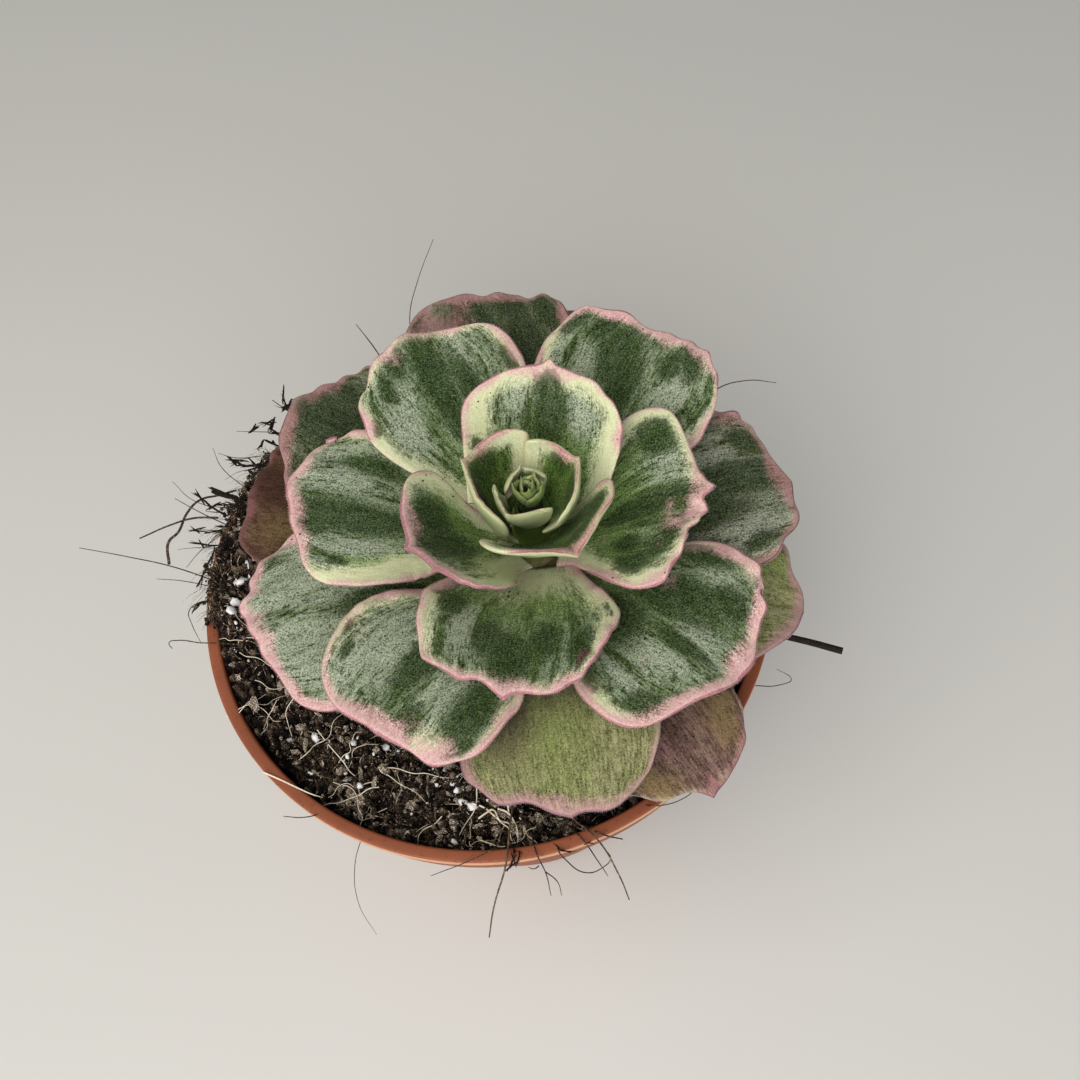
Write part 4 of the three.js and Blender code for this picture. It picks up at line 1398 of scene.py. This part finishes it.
@dataclass(frozen=True)
class NurseryPot:
    """The round pot, spun from its profile and drilled with drainage holes."""

    collar_height: float = 11.0
    collar_step: float = 3.6
    lip_width: float = 1.8
    lip_bulge: float = 0.8
    base_radius: float = 42.0
    wall: float = 1.6
    floor: float = 2.4
    sides: int = 200
    drains: int = 6
    drain_radius: float = 4.0
    drain_circle: float = 27.0

    @property
    def step(self) -> float:
        """Height of the step under the collar."""
        return RIM_HEIGHT - self.collar_height

    def inner(self, height: float) -> float:
        """Measure the inside of the pot.

        Args:
            height: Height over the underside.

        Returns:
            Inside radius there.
        """
        if height >= self.step:
            return RIM_RADIUS - self.lip_width - self.lip_bulge
        low, high = self.base_radius - self.wall, RIM_RADIUS - self.collar_step - self.wall
        return low + (high - low) * height / self.step

    def profile(self) -> list[tuple[float, float]]:
        """Draw the pot from the middle of its underside round to the middle of its floor.

        Returns:
            Radius and height of each point.
        """
        base, step, mouth = self.base_radius, self.step, self.inner(RIM_HEIGHT)
        foot = [
            (0.0, 0.6), (base - 9.0, 0.6), (base - 8.4, 0.0), (base - 2.5, 0.0), (base - 1.0, 0.35),
            (base - 0.25, 1.1), (base + 0.1, 2.2),
        ]
        outer = [(self.inner(h) + self.wall, h) for h in (8.0, 20.0, 40.5, 60.0, step - 3.2)]
        below = self.inner(step - 2.0) + self.wall
        collar = RIM_RADIUS - self.lip_bulge
        shoulder = [
            (below, step - 2.0), (below + 0.4, step - 1.5), (collar - 1.1, step - 0.1),
            (collar - 0.6, step + 0.4), (collar - 0.3, step + 3.0),
        ]
        # Radius of each point of the rolled lip, and how far it lies under the rim.
        lip = (
            (collar + 0.05, 2.6), (collar + 0.2, 2.2), (RIM_RADIUS - 0.1, 1.9), (RIM_RADIUS, 1.7),
            (RIM_RADIUS, 0.5), (RIM_RADIUS - 0.08, 0.2), (RIM_RADIUS - 0.3, 0.03), (RIM_RADIUS - 0.5, 0.0),
            (RIM_RADIUS - 0.8, 0.0), (mouth + 0.6, 0.05), (mouth + 0.3, 0.15), (mouth + 0.05, 0.45),
            (mouth, 0.9), (mouth, 1.4),
        )
        inside = [(self.inner(step + 1.5), step + 1.5)]
        inside += [(self.inner(h), h - 0.5) for h in (step - 0.5, 60.0, 40.0, 20.0, 6.0)]
        inside += [(self.inner(5.0) - 2.0, self.floor), (0.0, self.floor)]
        return foot + outer + shoulder + [(radius, RIM_HEIGHT - under) for radius, under in lip] + inside

    def build(self) -> None:
        """Build the pot."""
        drills = bmesh.new()
        for k in range(self.drains):
            turn = (k + 0.5) * math.tau / self.drains
            place = (self.drain_circle * math.cos(turn), self.drain_circle * math.sin(turn), 0.0)
            bmesh.ops.create_cone(
                drills, cap_ends=True, segments=32, radius1=self.drain_radius, radius2=self.drain_radius,
                depth=12.0, matrix=Matrix.Translation(place),
            )
        pot, drill = (
            bpy.data.objects.new("blank", baked(bm)) for bm in (spun(self.profile(), self.sides), drills)
        )
        for holder in (pot, drill):
            bpy.context.scene.collection.objects.link(holder)
        cut = pot.modifiers.new("drain_holes", "BOOLEAN")
        cut.object = drill
        cut.operation = "DIFFERENCE"
        cut.solver = "EXACT"
        bpy.context.view_layer.update()
        mesh = bpy.data.meshes.new_from_object(pot.evaluated_get(bpy.context.evaluated_depsgraph_get()))
        for holder in (pot, drill):
            bpy.data.objects.remove(holder)
        show("nursery_pot", mesh, TERRACOTTA_PLASTIC, "pot", "pot")
        mesh.set_sharp_from_angle(angle=math.radians(38.0))


@dataclass(frozen=True)
class SoilBed:
    """Peaty mix heaped against the rim, with loose crumbs, bark, perlite, fibres and roots in its surface."""

    drop: float = 6.5
    heap: float = 11.0
    heap_turn: float = 163.0
    top_radius: float = 57.1
    play: float = 0.3
    sides: int = 400
    rings: int = 120
    clods: int = 90
    crumbs: int = 5200
    chips: int = 2900
    grains: int = 330
    fibres: int = 2300
    fine_roots: int = 150
    clumps: int = 9
    clump_lumps: int = 170
    clump_fibres: int = 24
    # Place of each large grain, seen from above, and its size.
    perlite: tuple[Point, ...] = (
        (-43, -30, 0.9), (-38, -30, 1.1), (-30, -32, 0.8), (-24, -33, 1.0), (-24, -39, 0.6),
        (-29, -41, 0.8), (-19, -47, 0.7), (-14, -42, 0.5), (-12, -39, 1.3), (-11, -42, 0.8),
        (-10, -43.5, 0.9), (-9, -46, 1.0), (-7, -47.5, 1.1), (-11, -50, 1.0), (-11, -54, 0.8),
        (-20, -51, 0.7), (-50, 7, 0.9), (-52, 4, 1.5), (-50, 5, 0.8), (-53, -1, 1.3), (-53, -4, 1.1),
        (-50, 0, 0.9), (-48, 2, 0.7),
    )
    # Thickness of each long root and the places that it runs through, seen from above.
    long_roots: tuple[tuple[float, tuple[tuple[float, float], ...]], ...] = (
        (0.5, ((-37, -29), (-32, -36), (-29, -40), (-28, -44))),
        (0.5, ((-34, -40), (-31, -41), (-29, -46), (-29, -49))),
        (0.4, ((-25, -41), (-30, -41), (-33, -41), (-35, -43))),
        (0.5, ((-25, -42), (-29, -43), (-33, -44), (-37, -45))),
        (0.4, ((-55, -25), (-50, -23), (-46, -26), (-44, -27))),
        (0.35, ((-53, -25), (-50, -22), (-47, -21))),
        (0.45, ((-41, -35), (-38, -32), (-34, -28), (-32, -26))),
        (0.4, ((-33, -36), (-30.5, -34), (-30, -32), (-28, -30.5))),
        (0.5, ((-24, -38.5), (-18, -40), (-13, -41), (-8, -41))),
        (0.4, ((-25, -38), (-23, -40), (-19, -43), (-16, -46))),
        (0.45, ((-13, -49), (-16.5, -51), (-18, -53.5))), (0.4, ((-45, -22), (-47, -26), (-48, -29))),
        (0.55, ((-5, -39), (-6, -46), (-8, -50), (-10, -53))),
        (0.8, ((-7, -47), (-3, -50), (0, -52), (2, -54))),
        (0.9, ((-6, -50), (-3, -49), (-1, -52), (0, -55))), (0.7, ((0, -48), (1, -53), (2.5, -56))),
        (0.6, ((-6, -54.5), (-2, -56), (2, -55), (5, -53))), (0.9, ((-2, -49), (1, -52), (1, -56))),
        (0.6, ((2, -51), (3, -54), (5, -56.3))), (0.5, ((9, -52), (13, -54), (17, -54))),
        (0.4, ((-51, -10), (-54, -9.5), (-56, -9))), (0.4, ((-52, -12), (-48, -14), (-44, -17))),
        (0.35, ((-49, -18), (-46, -20), (-42, -19))), (0.5, ((-40, -20), (-43, -25), (-42, -30))),
    )

    BLANK_HEIGHT = 200.0

    def height(self, x: float, y: float) -> float:
        """Measure the smooth surface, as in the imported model.

        Args:
            x: Place to the right.
            y: Place to the back.

        Returns:
            Height over the rim.
        """
        radius = math.hypot(x, y)
        away = abs((math.degrees(math.atan2(y, x)) - self.heap_turn + 180.0) % 360.0 - 180.0)
        heap = self.heap * math.exp(-((away / 42.0) ** 2)) * float(smooth_share(radius, 20.0, 54.0))
        dome = 2.0 * (1.0 - radius / RIM_RADIUS)
        lumps = 0.9 * math.sin(0.41 * x + 1.3) * math.sin(0.37 * y + 0.4)
        return -self.drop + dome + heap + lumps + 0.5 * math.sin(0.83 * x - 0.71 * y)

    def rough_height(self, x: float, y: float) -> float:
        """Measure the crumbly surface, with clods 4 mm, crumbs 1.6 mm and grit 0.6 mm wide.

        Args:
            x: Place to the right.
            y: Place to the back.

        Returns:
            Height over the rim.
        """
        spot = Vector((x, y, 0.0))
        clods = noise.noise(spot * 0.24) * 1.5
        crumbs = abs(noise.noise(spot * 0.62 + Vector((4.0, 0.0, 1.0)))) * 4.4 - 1.2
        grit = noise.noise(spot * 1.7 + Vector((0.0, 7.0, 2.0))) * 1.5
        return self.height(x, y) + clods + crumbs + grit

    @staticmethod
    def strewn(x: float, y: float) -> float:
        """Share of the coarse litter that lies at a place: most is at the front."""
        return 0.25 + 0.75 * math.exp(-(((x + 12.0) / 30.0) ** 2) - ((y + 45.0) / 18.0) ** 2)

    def build_bed(self) -> None:
        """Build the body of the soil, down to the floor of the pot, from a blank with a flat raised top."""
        pot, top = NurseryPot(), self.top_radius
        side = [
            (0.0, 2.7), (pot.inner(5.0) - 2.6, 2.7), (pot.inner(6.0) - self.play, 6.0),
            (pot.inner(40.0) - self.play, 40.0), (pot.inner(80.0) - self.play, 80.5), (top, 83.2),
        ]
        flat = [(top * (1.0 - k / self.rings), self.BLANK_HEIGHT) for k in range(self.rings + 1)]
        bm = spun(side + flat, self.sides)
        for vert in bm.verts:
            if vert.co.z > RIM_HEIGHT:
                vert.co.z = RIM_HEIGHT + self.rough_height(vert.co.x, vert.co.y)
        mesh = baked(bm)
        # Height over the smooth surface, which the peat turns into painted shade and painted light.
        crest = mesh.attributes.new("crest", "FLOAT", "POINT")
        for k, vert in enumerate(mesh.vertices):
            x, y, z = vert.co / MM
            crest.data[k].value = z - RIM_HEIGHT - self.height(x, y) - 0.2 if z > 84.0 else 0.0
        show("soil_bed", mesh, PEAT, "soil", "soil")

    def scatter(
        self, draw: random.Random, count: int, sizes: tuple[float, float, float], sink: float,
        slim: float = 0.6,
    ) -> list[Matrix]:
        """Draw places on the surface for small lumps.

        Args:
            draw: The random draw.
            count: How many places.
            sizes: Least size, how much is added at most, and the power that makes large lumps rare.
            sink: How far a lump is sunk, as a share of its size.
            slim: Least width of a lump, as a share of its size.

        Returns:
            One matrix for each lump.
        """
        least, more, power = sizes
        places = []
        while len(places) < count:
            x, y = draw.uniform(-56.0, 56.0), draw.uniform(-56.0, 56.0)
            size = least + more * draw.random() ** power
            if math.hypot(x, y) > self.top_radius - size - 0.3 or draw.random() > self.strewn(x, y):
                continue
            spot = (x, y, RIM_HEIGHT + self.rough_height(x, y) + size * (0.5 - sink))
            places.append(dropped(draw, spot, size, (slim, 1.0), (0.6 * slim, 0.9 * slim + 0.3)))
        return places

    def rim_clumps(self) -> list[Vector]:
        """Place the clumps that have spilled over the rim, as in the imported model.

        Returns:
            Middle and size of each.
        """
        middles = []
        for i in range(self.clumps):
            turn = math.radians(self.heap_turn - 20 + 5 * i)
            size = 3 + 0.9 * math.sin(2.1 * i)
            radius = RIM_RADIUS - 3.6 + 0.9 * math.sin(4.3 * i)
            height = RIM_HEIGHT + 0.3 + 0.97 * size
            middles.append(Vector((radius * math.cos(turn), radius * math.sin(turn), height, size)))
        return middles

    def build_lumps(self) -> None:
        """Build the loose crumbs, the bark chips and the perlite."""
        draw = random.Random(3)
        loose = self.scatter(draw, self.crumbs, (0.22, 0.85, 3.0), 0.4)
        chips = self.scatter(draw, self.chips, (0.3, 1.35, 3.0), 0.2, slim=0.25)
        for x, y, z, size in self.rim_clumps():
            for k in range(self.clump_lumps):
                offset = Vector([draw.gauss(0.0, 0.46) * size for _ in range(3)])
                offset.z = abs(offset.z) * 0.9 - 0.65 * size
                spot = Vector((x, y, z)) + offset
                lump = dropped(draw, spot, 0.2 + 0.75 * draw.random() ** 2, (0.5, 1.0), (0.4, 0.9))
                (chips if k % 9 == 0 else loose).append(lump)
        clods = self.scatter(draw, self.clods, (0.9, 2.2 - 0.9, 1.0), 0.55)
        grains = self.scatter(draw, self.grains, (0.14, 0.42, 2.2), 0.25)
        for x, y, size in self.perlite:
            turn = tumbled(draw)
            spot = (x, y, RIM_HEIGHT + self.rough_height(x, y) + 0.3 * size)
            grains.append(placed(spot, turn, (size * 0.95, size * 0.85, size * 0.65)))
        for name, finish, places, seeds, fineness in (
            ("peat_crumbs", HUMUS, loose, range(6), 1),
            ("peat_clods", HUMUS, clods, range(30, 35), 2),
            ("bark_chips", BARK_CHIP, chips, range(20, 25), 1),
            ("perlite_grains", PERLITE, grains, range(10, 15), 2),
        ):
            mesh = show(name, copies([crumb_shape(seed, fineness) for seed in seeds], places), finish, "soil")
            if finish is not PERLITE:
                mesh.shade_flat()

    def strand(
        self, draw: random.Random, start: tuple[float, float], length: float, width: float, lie: float
    ) -> Strand:
        """Draw one strand that lies on the surface.

        Args:
            draw: The random draw.
            start: Where it starts, seen from above.
            length: How long it is.
            width: How thick it is.
            lie: How high its middle arches over the soil.

        Returns:
            The strand.
        """
        x, y = start
        turn = draw.uniform(0.0, math.tau)
        count = max(2, round(length / 1.8))
        step = length / count
        route = []
        for k in range(count + 1):
            z = self.rough_height(x, y) + width * 0.4 + lie * math.sin(math.pi * (k / count))
            if k in (0, count):
                z -= 0.3
            route.append((x, y, RIM_HEIGHT + z))
            turn += draw.gauss(0.0, 0.35)
            if math.hypot(x + step * math.cos(turn), y + step * math.sin(turn)) > self.top_radius - 1.0:
                turn = math.atan2(-y, -x) + draw.uniform(-0.8, 0.8)
            x, y = x + step * math.cos(turn), y + step * math.sin(turn)
        return Strand(route, width, 0.5)

    def build_fibres(self) -> None:
        """Build the fibres and roots that lie in the surface, and the fibres that stand out of the heap."""
        draw = random.Random(8)
        short, pale, dry = [], [], []
        for k in range(self.fibres + self.fine_roots):
            radius, turn = self.top_radius * math.sqrt(draw.uniform(0.1, 0.95)), draw.uniform(0.0, math.tau)
            start = (radius * math.cos(turn), radius * math.sin(turn))
            if k < self.fibres:
                length, width = 0.8 + 5.0 * draw.random() ** 2, 0.09 + 0.17 * draw.random() ** 2
                short.append(self.strand(draw, start, length, width, draw.uniform(0.1, 0.7)))
            else:
                length, width = draw.uniform(5.0, 15.0), draw.uniform(0.09, 0.18)
                pale.append(self.strand(draw, start, length, width, draw.uniform(0.3, 1.1)))
        for width, route in self.long_roots:
            lain = [(x, y, RIM_HEIGHT + self.height(x, y) + 1.5 + 0.5 * width) for x, y in route]
            pale.append(Strand(wander(lain, draw, 0.4), 0.46 * width, 0.4))
        for x, y, z, size in self.rim_clumps():
            for _ in range(self.clump_fibres):
                out = math.atan2(y, x) + draw.gauss(0.2, 0.8)
                reach, rise = size * draw.uniform(0.5, 2.3), draw.uniform(-2.0, 2.5)
                route = (
                    (x - 1.5 * math.cos(out), y - 1.5 * math.sin(out), z - 0.4 * size),
                    (x + 0.5 * reach * math.cos(out), y + 0.5 * reach * math.sin(out), z + 0.6 * rise),
                    (x + reach * math.cos(out + 0.3), y + reach * math.sin(out + 0.3), z + rise - 0.8),
                )
                (dry if draw.random() < 0.4 else short).append(Strand(route, draw.uniform(0.08, 0.17), 0.4))
        show("soil_fibres", strands_mesh(short, 0, 2), PEAT_FIBRE, "soil")
        show("dark_fibres", strands_mesh(dry, 0, 3), DARK_ROOT, "root")
        show("surface_roots", strands_mesh(pale, 1, 5), PALE_ROOT, "root")

    def build(self) -> None:
        """Build the soil and what lies in it."""
        self.build_bed()
        self.build_lumps()
        self.build_fibres()


@dataclass(frozen=True)
class Stem:
    """The short thick stem, ringed with the scars of fallen leaves."""

    bottom: float = -15.5
    sides: int = 64
    rings: int = 90
    scars: int = 14
    scar_gap: float = 1.6
    scar_width: float = 34.0
    scar_height: float = 1.5

    def scar(self, turn: float, height: float) -> float:
        """Measure how far the rings round the leaf scars stand out.

        Args:
            turn: Direction from the axis.
            height: Height over the rim.

        Returns:
            A share from 0 to 1 of the height of a ring.
        """
        most = 0.0
        for k in range(self.scars):
            aside = (turn - GOLDEN_TURN * k + 180.0) % 360.0 - 180.0
            far = math.hypot(aside / self.scar_width, (height - (self.scar_gap * k - 8.0)) / self.scar_height)
            most = max(most, math.exp(-((far - 1.0) / 0.3) ** 2) - 0.6 * math.exp(-far * far * 4.0))
        return most

    def build(self) -> None:
        """Build the stem."""
        heights = np.linspace(self.bottom, STEM_TOP, self.rings)
        side = [(STEM_RADIUS - STEM_TAPER * max(float(h), 0.0), float(h)) for h in heights]
        bm = spun([(0.0, self.bottom), *side, (0.0, STEM_TOP)], self.sides)
        for vert in bm.verts:
            radius = math.hypot(vert.co.x, vert.co.y)
            if radius < 0.5 or vert.co.z > STEM_TOP - 0.1 or vert.co.z < self.bottom + 0.1:
                continue
            scar = self.scar(math.degrees(math.atan2(vert.co.y, vert.co.x)), vert.co.z)
            bark = noise.noise(Vector((vert.co.x * 0.8, vert.co.y * 0.8, vert.co.z * 0.35)))
            push = 1.0 + (0.22 * scar + 0.3 * bark - 0.25) / radius
            vert.co.x *= push
            vert.co.y *= push
        bmesh.ops.translate(bm, vec=(*PLANT_AXIS, RIM_HEIGHT), verts=bm.verts[:])
        show("corky_stem", baked(bm), CORKY_STEM, "stem", "stem")


@dataclass(frozen=True)
class Litter:
    """The dry roots, hairs, bark and twig that lie on the soil and hang over the rim.

    Every route is in millimetres, with heights over the rim.
    """

    # Node that a root replaces, with its finish, its thickness, what of it the tip keeps, and its route.
    roots: tuple[tuple[str, Finish, float, float, Route], ...] = (
        ("root_left_curl", DARK_ROOT, 0.44, 1.5, (
            (-52.5, 24.6, 5.9), (-56, 23.4, 6.6), (-60.5, 22.8, 6.3), (-63.3, 20.4, 5.5), (-65.4, 16.9, 4.1),
            (-68.1, 15.4, 2.5), (-69, 12, -1),
        )),
        ("root_left_long", DARK_ROOT, 0.5, 0.6, (
            (-56, 17.5, 7), (-61, 18, 7.1), (-66, 17.8, 6), (-74, 16.5, 3.8),
        )),
        ("root_front_left", DRY_ROOT, 0.42, 0.6, (
            (1, -48, -4.2), (0, -54.5, -0.4), (-1, -60.5, 1.2), (-4, -67, -2), (-6, -71.5, -9),
        )),
        ("root_front_right", DRY_ROOT, 0.38, 0.6, (
            (8, -47, -4.2), (12.5, -53.5, -0.6), (16.6, -58.6, 1.6), (19.5, -64.5, -1), (21, -68, -7),
        )),
    )
    twig: Route = ((46, -17, -3.2), (54, -20.5, 1.1), (62, -24, 2.4), (69, -27.5, 3.2))
    rim_root: Route = (
        (-47, -37.5, 0.5), (-43, -39.7, 0.2), (-40, -41.5, 0.2), (-37.4, -42.9, -0.2), (-35.8, -43.2, -2),
    )
    # Thickness and route of each hair.
    hairs: tuple[tuple[float, Route], ...] = (
        (0.3, ((-57, 5, 1), (-66, 8, 5), (-75, 10.5, 7), (-85.5, 14, 7))),
        (0.22, ((-57, 4, 0), (-64, 5, 3.6), (-69.5, 6, 4))),
        (0.28, ((-53, 16, 4), (-59, 18, 9), (-64, 21, 11))),
        (0.2, ((-56, 12, 3), (-60, 12, 4.6), (-65, 12, 5))),
        (0.25, ((-57, 1, 0), (-60.5, 0, 2.6), (-62.5, -2, 3), (-62.5, -4, 1), (-61.5, -7, -2))),
        (0.3, (
            (-49, -10, -1), (-56, -9.5, 1.6), (-60, -9, 1.8), (-65, -8, 2.2), (-66.5, -8.4, 2.4),
            (-66, -9.6, 1.8),
        )),
        (0.22, ((-47, 32, 7), (-52, 31, 9), (-55.5, 32, 10))),
        (0.22, ((-44, 38, 7), (-52, 38, 9))),
        (0.22, ((-55, 15, 5), (-60, 11, 5), (-64, 9, 2))),
        (0.2, ((-54, 20, 6), (-60, 20, 11), (-64, 24, 13))),
        (0.2, ((-50, 24, 7), (-54, 27, 12), (-55, 30, 15))),
        (0.22, ((-12, 56, 2), (-12, 64, 10), (-9, 69, 16), (-4, 73.5, 24))),
        (0.35, ((-18, 55, 0), (-21, 58, 8), (-24, 61, 13))),
        (0.3, ((46, 33, -4), (55, 37, 5), (62, 36.5, 8), (68, 35, 8))),
        (0.3, ((-1, -54, -5), (-3.5, -57.5, 0.6), (-7, -59, 1.2), (-15.5, -60.5, -2))),
        (0.3, ((4, -54, -5), (5, -60, 1.1), (6, -62.5, 0), (6.5, -66, -5))),
        (0.25, ((5, -61.5, 0.6), (4, -62, 1), (3, -61.5, 0.6))),
        (0.25, ((6, -62.5, 0), (8, -64, -3), (8.5, -66, -6))),
        (0.28, ((9, -52, -4), (13.5, -57.5, 0.7), (16, -62, 0.6), (17.5, -64, -3))),
        (0.25, (
            (8, -57, -2), (10, -61, 1), (13, -63.5, 0.4), (17, -62.5, -1.6), (18.4, -61, -2),
            (18, -60, -1.4),
        )),
        (0.45, ((10, -52, -4.6), (14, -54.5, -2), (18, -57.5, 1.1), (21, -58.5, 1))),
        (0.25, ((23, -50, -3), (28, -53, 0.8), (34, -52, 1), (37, -49, -1))),
        (0.3, ((-30, -45, -4.6), (-35, -46.5, -1), (-38.5, -47.5, 0.9), (-43, -46.5, -0.4))),
        (0.16, ((-28, -51, -2), (-29.5, -57, -1), (-30, -63, -6), (-28, -68, -13))),
        (0.22, ((52, -30, -4), (56, -32, 0.5), (59, -30, -2), (57, -27, -4))),
    )
    # Width and route of each bit of bark.
    bark: tuple[tuple[float, Route], ...] = (
        (1.15, ((-50, 21.5, 5.6), (-54, 22, 7.6), (-57, 23.5, 8.6))),
        (0.45, ((-51, 20, 6), (-55, 20.5, 7.6), (-58, 20, 7.4))),
        (0.75, ((-45, 29, 7), (-50, 29, 8.8), (-53, 31, 9))),
        (0.5, ((-46, 27, 8), (-49, 30, 9.6), (-52.5, 29.5, 9.4))),
        (0.6, ((-42, 38, 6), (-45, 37, 8.6), (-43.5, 39.5, 9.4), (-47, 38, 10), (-49, 37, 9.6))),
        (0.6, ((-43.5, 35, 6), (-46, 35.5, 8), (-47, 33.5, 8.2))),
        (0.6, ((-53, 16, 4), (-58, 15, 6.4), (-62, 16, 6))),
        (0.45, ((-55, 12, 4), (-59, 12, 5.4), (-62, 13.2, 6))),
        (0.5, ((-57, 11, 4.6), (-59.5, 7, 3.8), (-61, 4, 2))),
        (0.45, ((-54, 18, 6), (-58, 20.5, 8), (-60.5, 23, 9.4))),
        (0.5, ((-39, 43, 4), (-41.5, 45, 7), (-41.5, 46.5, 10.5))),
        (0.4, ((-40, 44, 4), (-43.5, 45, 8.4))),
        (0.8, ((-36, 45.5, 4), (-39.5, 45.5, 7.4), (-42, 43.5, 7.6))),
        (0.45, ((-57, 0.5, 1.4), (-60.6, 0.4, 2), (-62, -1.5, 2.2))),
        (0.4, ((0, -55.5, -3), (0.6, -58.6, 0.9), (-0.4, -61.2, -0.9))),
        (0.3, ((1.5, -56, -3), (1.6, -59, 0.9), (0.6, -61, 0.2))),
        (0.3, ((8, -57.5, 0), (9.5, -59.3, 0.6), (11.5, -59.6, 0.7))),
        (0.25, ((14, -58.2, 0.7), (15.5, -58.6, 0.6))),
    )
    flakes: int = 3

    @staticmethod
    def lifted(route: Route) -> list[Point]:
        """Turn heights over the rim into heights over the underside of the pot."""
        return [(x, y, RIM_HEIGHT + above) for x, y, above in route]

    def build(self) -> None:
        """Build the litter."""
        hairs = [Strand(self.lifted(route), width, 0.5) for width, route in self.hairs]
        pieces = [
            (f"dry_{node}", [Strand(self.lifted(route), width, tip)], (2, 10), finish, "root", node)
            for node, finish, width, tip, route in self.roots
        ]
        pieces += [
            ("broken_twig", [Strand(self.lifted(self.twig), 1.25, 1.15)], (3, 12), DARK_BARK, "twig", "twig"),
            ("loose_hairs", hairs, (1, 8), DARK_ROOT, "root"),
            ("rim_root", [Strand(self.lifted(self.rim_root), 0.36, 0.5)], (1, 8), PALE_ROOT, "root"),
        ]
        for name, strands, detail, finish, slot, *nodes in pieces:
            show(name, strands_mesh(strands, *detail), finish, slot, *nodes)
        self.build_bark()

    def build_bark(self) -> None:
        """Build the ragged bits of bark, each from a few flakes and a splinter along its route."""
        draw = random.Random(17)
        places, splinters = [], []
        for width, route in self.bark:
            path = [Vector(place) for place in self.lifted(route)]
            splinters.append(Strand(wander(self.lifted(route), draw, 0.15 * width), 0.35 * width, 0.4))
            for here, there in zip(path, path[1:]):
                way = there - here
                for _ in range(self.flakes):
                    middle = here + way * draw.uniform(0.2, 0.8)
                    middle += jolt(draw, 0.22 * width)
                    turn = pointed(way.normalized() + jolt(draw, 0.3))
                    wide, thick = width * draw.uniform(0.25, 0.5), width * draw.uniform(0.12, 0.28)
                    places.append(placed(middle, turn, (wide, thick, way.length * 0.5)))
        flakes = copies([crumb_shape(seed, 2) for seed in range(40, 45)], places)
        show("bark_bits", flakes, DARK_BARK, "twig").shade_flat()
        show("bark_splinters", strands_mesh(splinters, 1, 3), DARK_BARK, "twig")


@dataclass(frozen=True)
class Studio:
    """Pale floor, soft lights and the camera."""

    floor_half: float = 1600.0
    eye: Point = (12.1, -104.1, 297.2)
    elevation: float = 61.6
    roll: float = -6.6
    view_angle: float = 53.0
    # Name, place, size, power in watts and colour of each light: a large one at the left and a weak fill.
    lamps: tuple[tuple[str, Point, float, float, str], ...] = (
        ("key_light", (-350.0, -330.0, 900.0), 1000.0, 5.9, "#fffaf2"),
        ("front_light", (-80.0, -520.0, 430.0), 700.0, 2.7, "#f6f7ff"),
    )
    sky: str = "#e9eaec"
    sky_strength: float = 0.34

    def build_floor(self) -> None:
        """Build the floor."""
        bm = bmesh.new()
        bmesh.ops.create_grid(bm, x_segments=4, y_segments=4, size=self.floor_half)
        mesh = baked(bm)
        mesh.materials.append(MattLaminate().material)
        floor = bpy.data.objects.new("studio_floor", mesh)
        bpy.context.scene.collection.objects.link(floor)

    def build_lights(self) -> None:
        """Build the lights and an even sky."""
        for name, place, size, power, colour in self.lamps:
            data = bpy.data.lights.new(name, "AREA")
            data.shape = "DISK"
            data.size = size * MM
            data.energy = power
            data.color = linear(colour)[:3]
            lamp = bpy.data.objects.new(name, data)
            lamp.location = [value * MM for value in place]
            aim = Vector((0.0, 0.0, RIM_HEIGHT)) - Vector(place)
            lamp.rotation_euler = aim.to_track_quat("-Z", "Y").to_euler()
            bpy.context.scene.collection.objects.link(lamp)
        world = bpy.data.worlds.new("even_sky")
        world.use_nodes = True
        background = world.node_tree.nodes["Background"]
        background.inputs["Color"].default_value = linear(self.sky)
        background.inputs["Strength"].default_value = self.sky_strength
        bpy.context.scene.world = world

    def build_camera(self) -> None:
        """Build the camera, which looks down on the plant."""
        high, tilt = math.radians(self.elevation), math.radians(self.roll)
        back = Vector((0.0, -math.cos(high), math.sin(high)))
        level, upright = Vector((1.0, 0.0, 0.0)), Vector((0.0, math.sin(high), math.cos(high)))
        right = math.cos(tilt) * level + math.sin(tilt) * upright
        up = -math.sin(tilt) * level + math.cos(tilt) * upright
        data = bpy.data.cameras.new("camera")
        data.sensor_fit = "AUTO"
        data.angle = math.radians(self.view_angle)
        data.clip_start = 0.01
        camera = bpy.data.objects.new("camera", data)
        axes = Matrix((right, up, back)).transposed().to_4x4()
        camera.matrix_world = Matrix.Translation(Vector(self.eye) * MM) @ axes
        bpy.context.scene.collection.objects.link(camera)
        bpy.context.scene.camera = camera
        bpy.context.scene.view_settings.view_transform = "Standard"

    def build(self) -> None:
        """Build the studio."""
        self.build_camera()
        self.build_floor()
        self.build_lights()


def main() -> None:
    """Build every sub-assembly in turn."""
    logging.basicConfig(level=logging.INFO, format="%(name)s: %(message)s")
    for assembly in (Studio(), NurseryPot(), SoilBed(), Stem(), Rosette(), Litter()):
        LOG.info("building %s", type(assembly).__name__)
        assembly.build()
    bpy.context.view_layer.update()


if __name__ == "__main__":
    main()
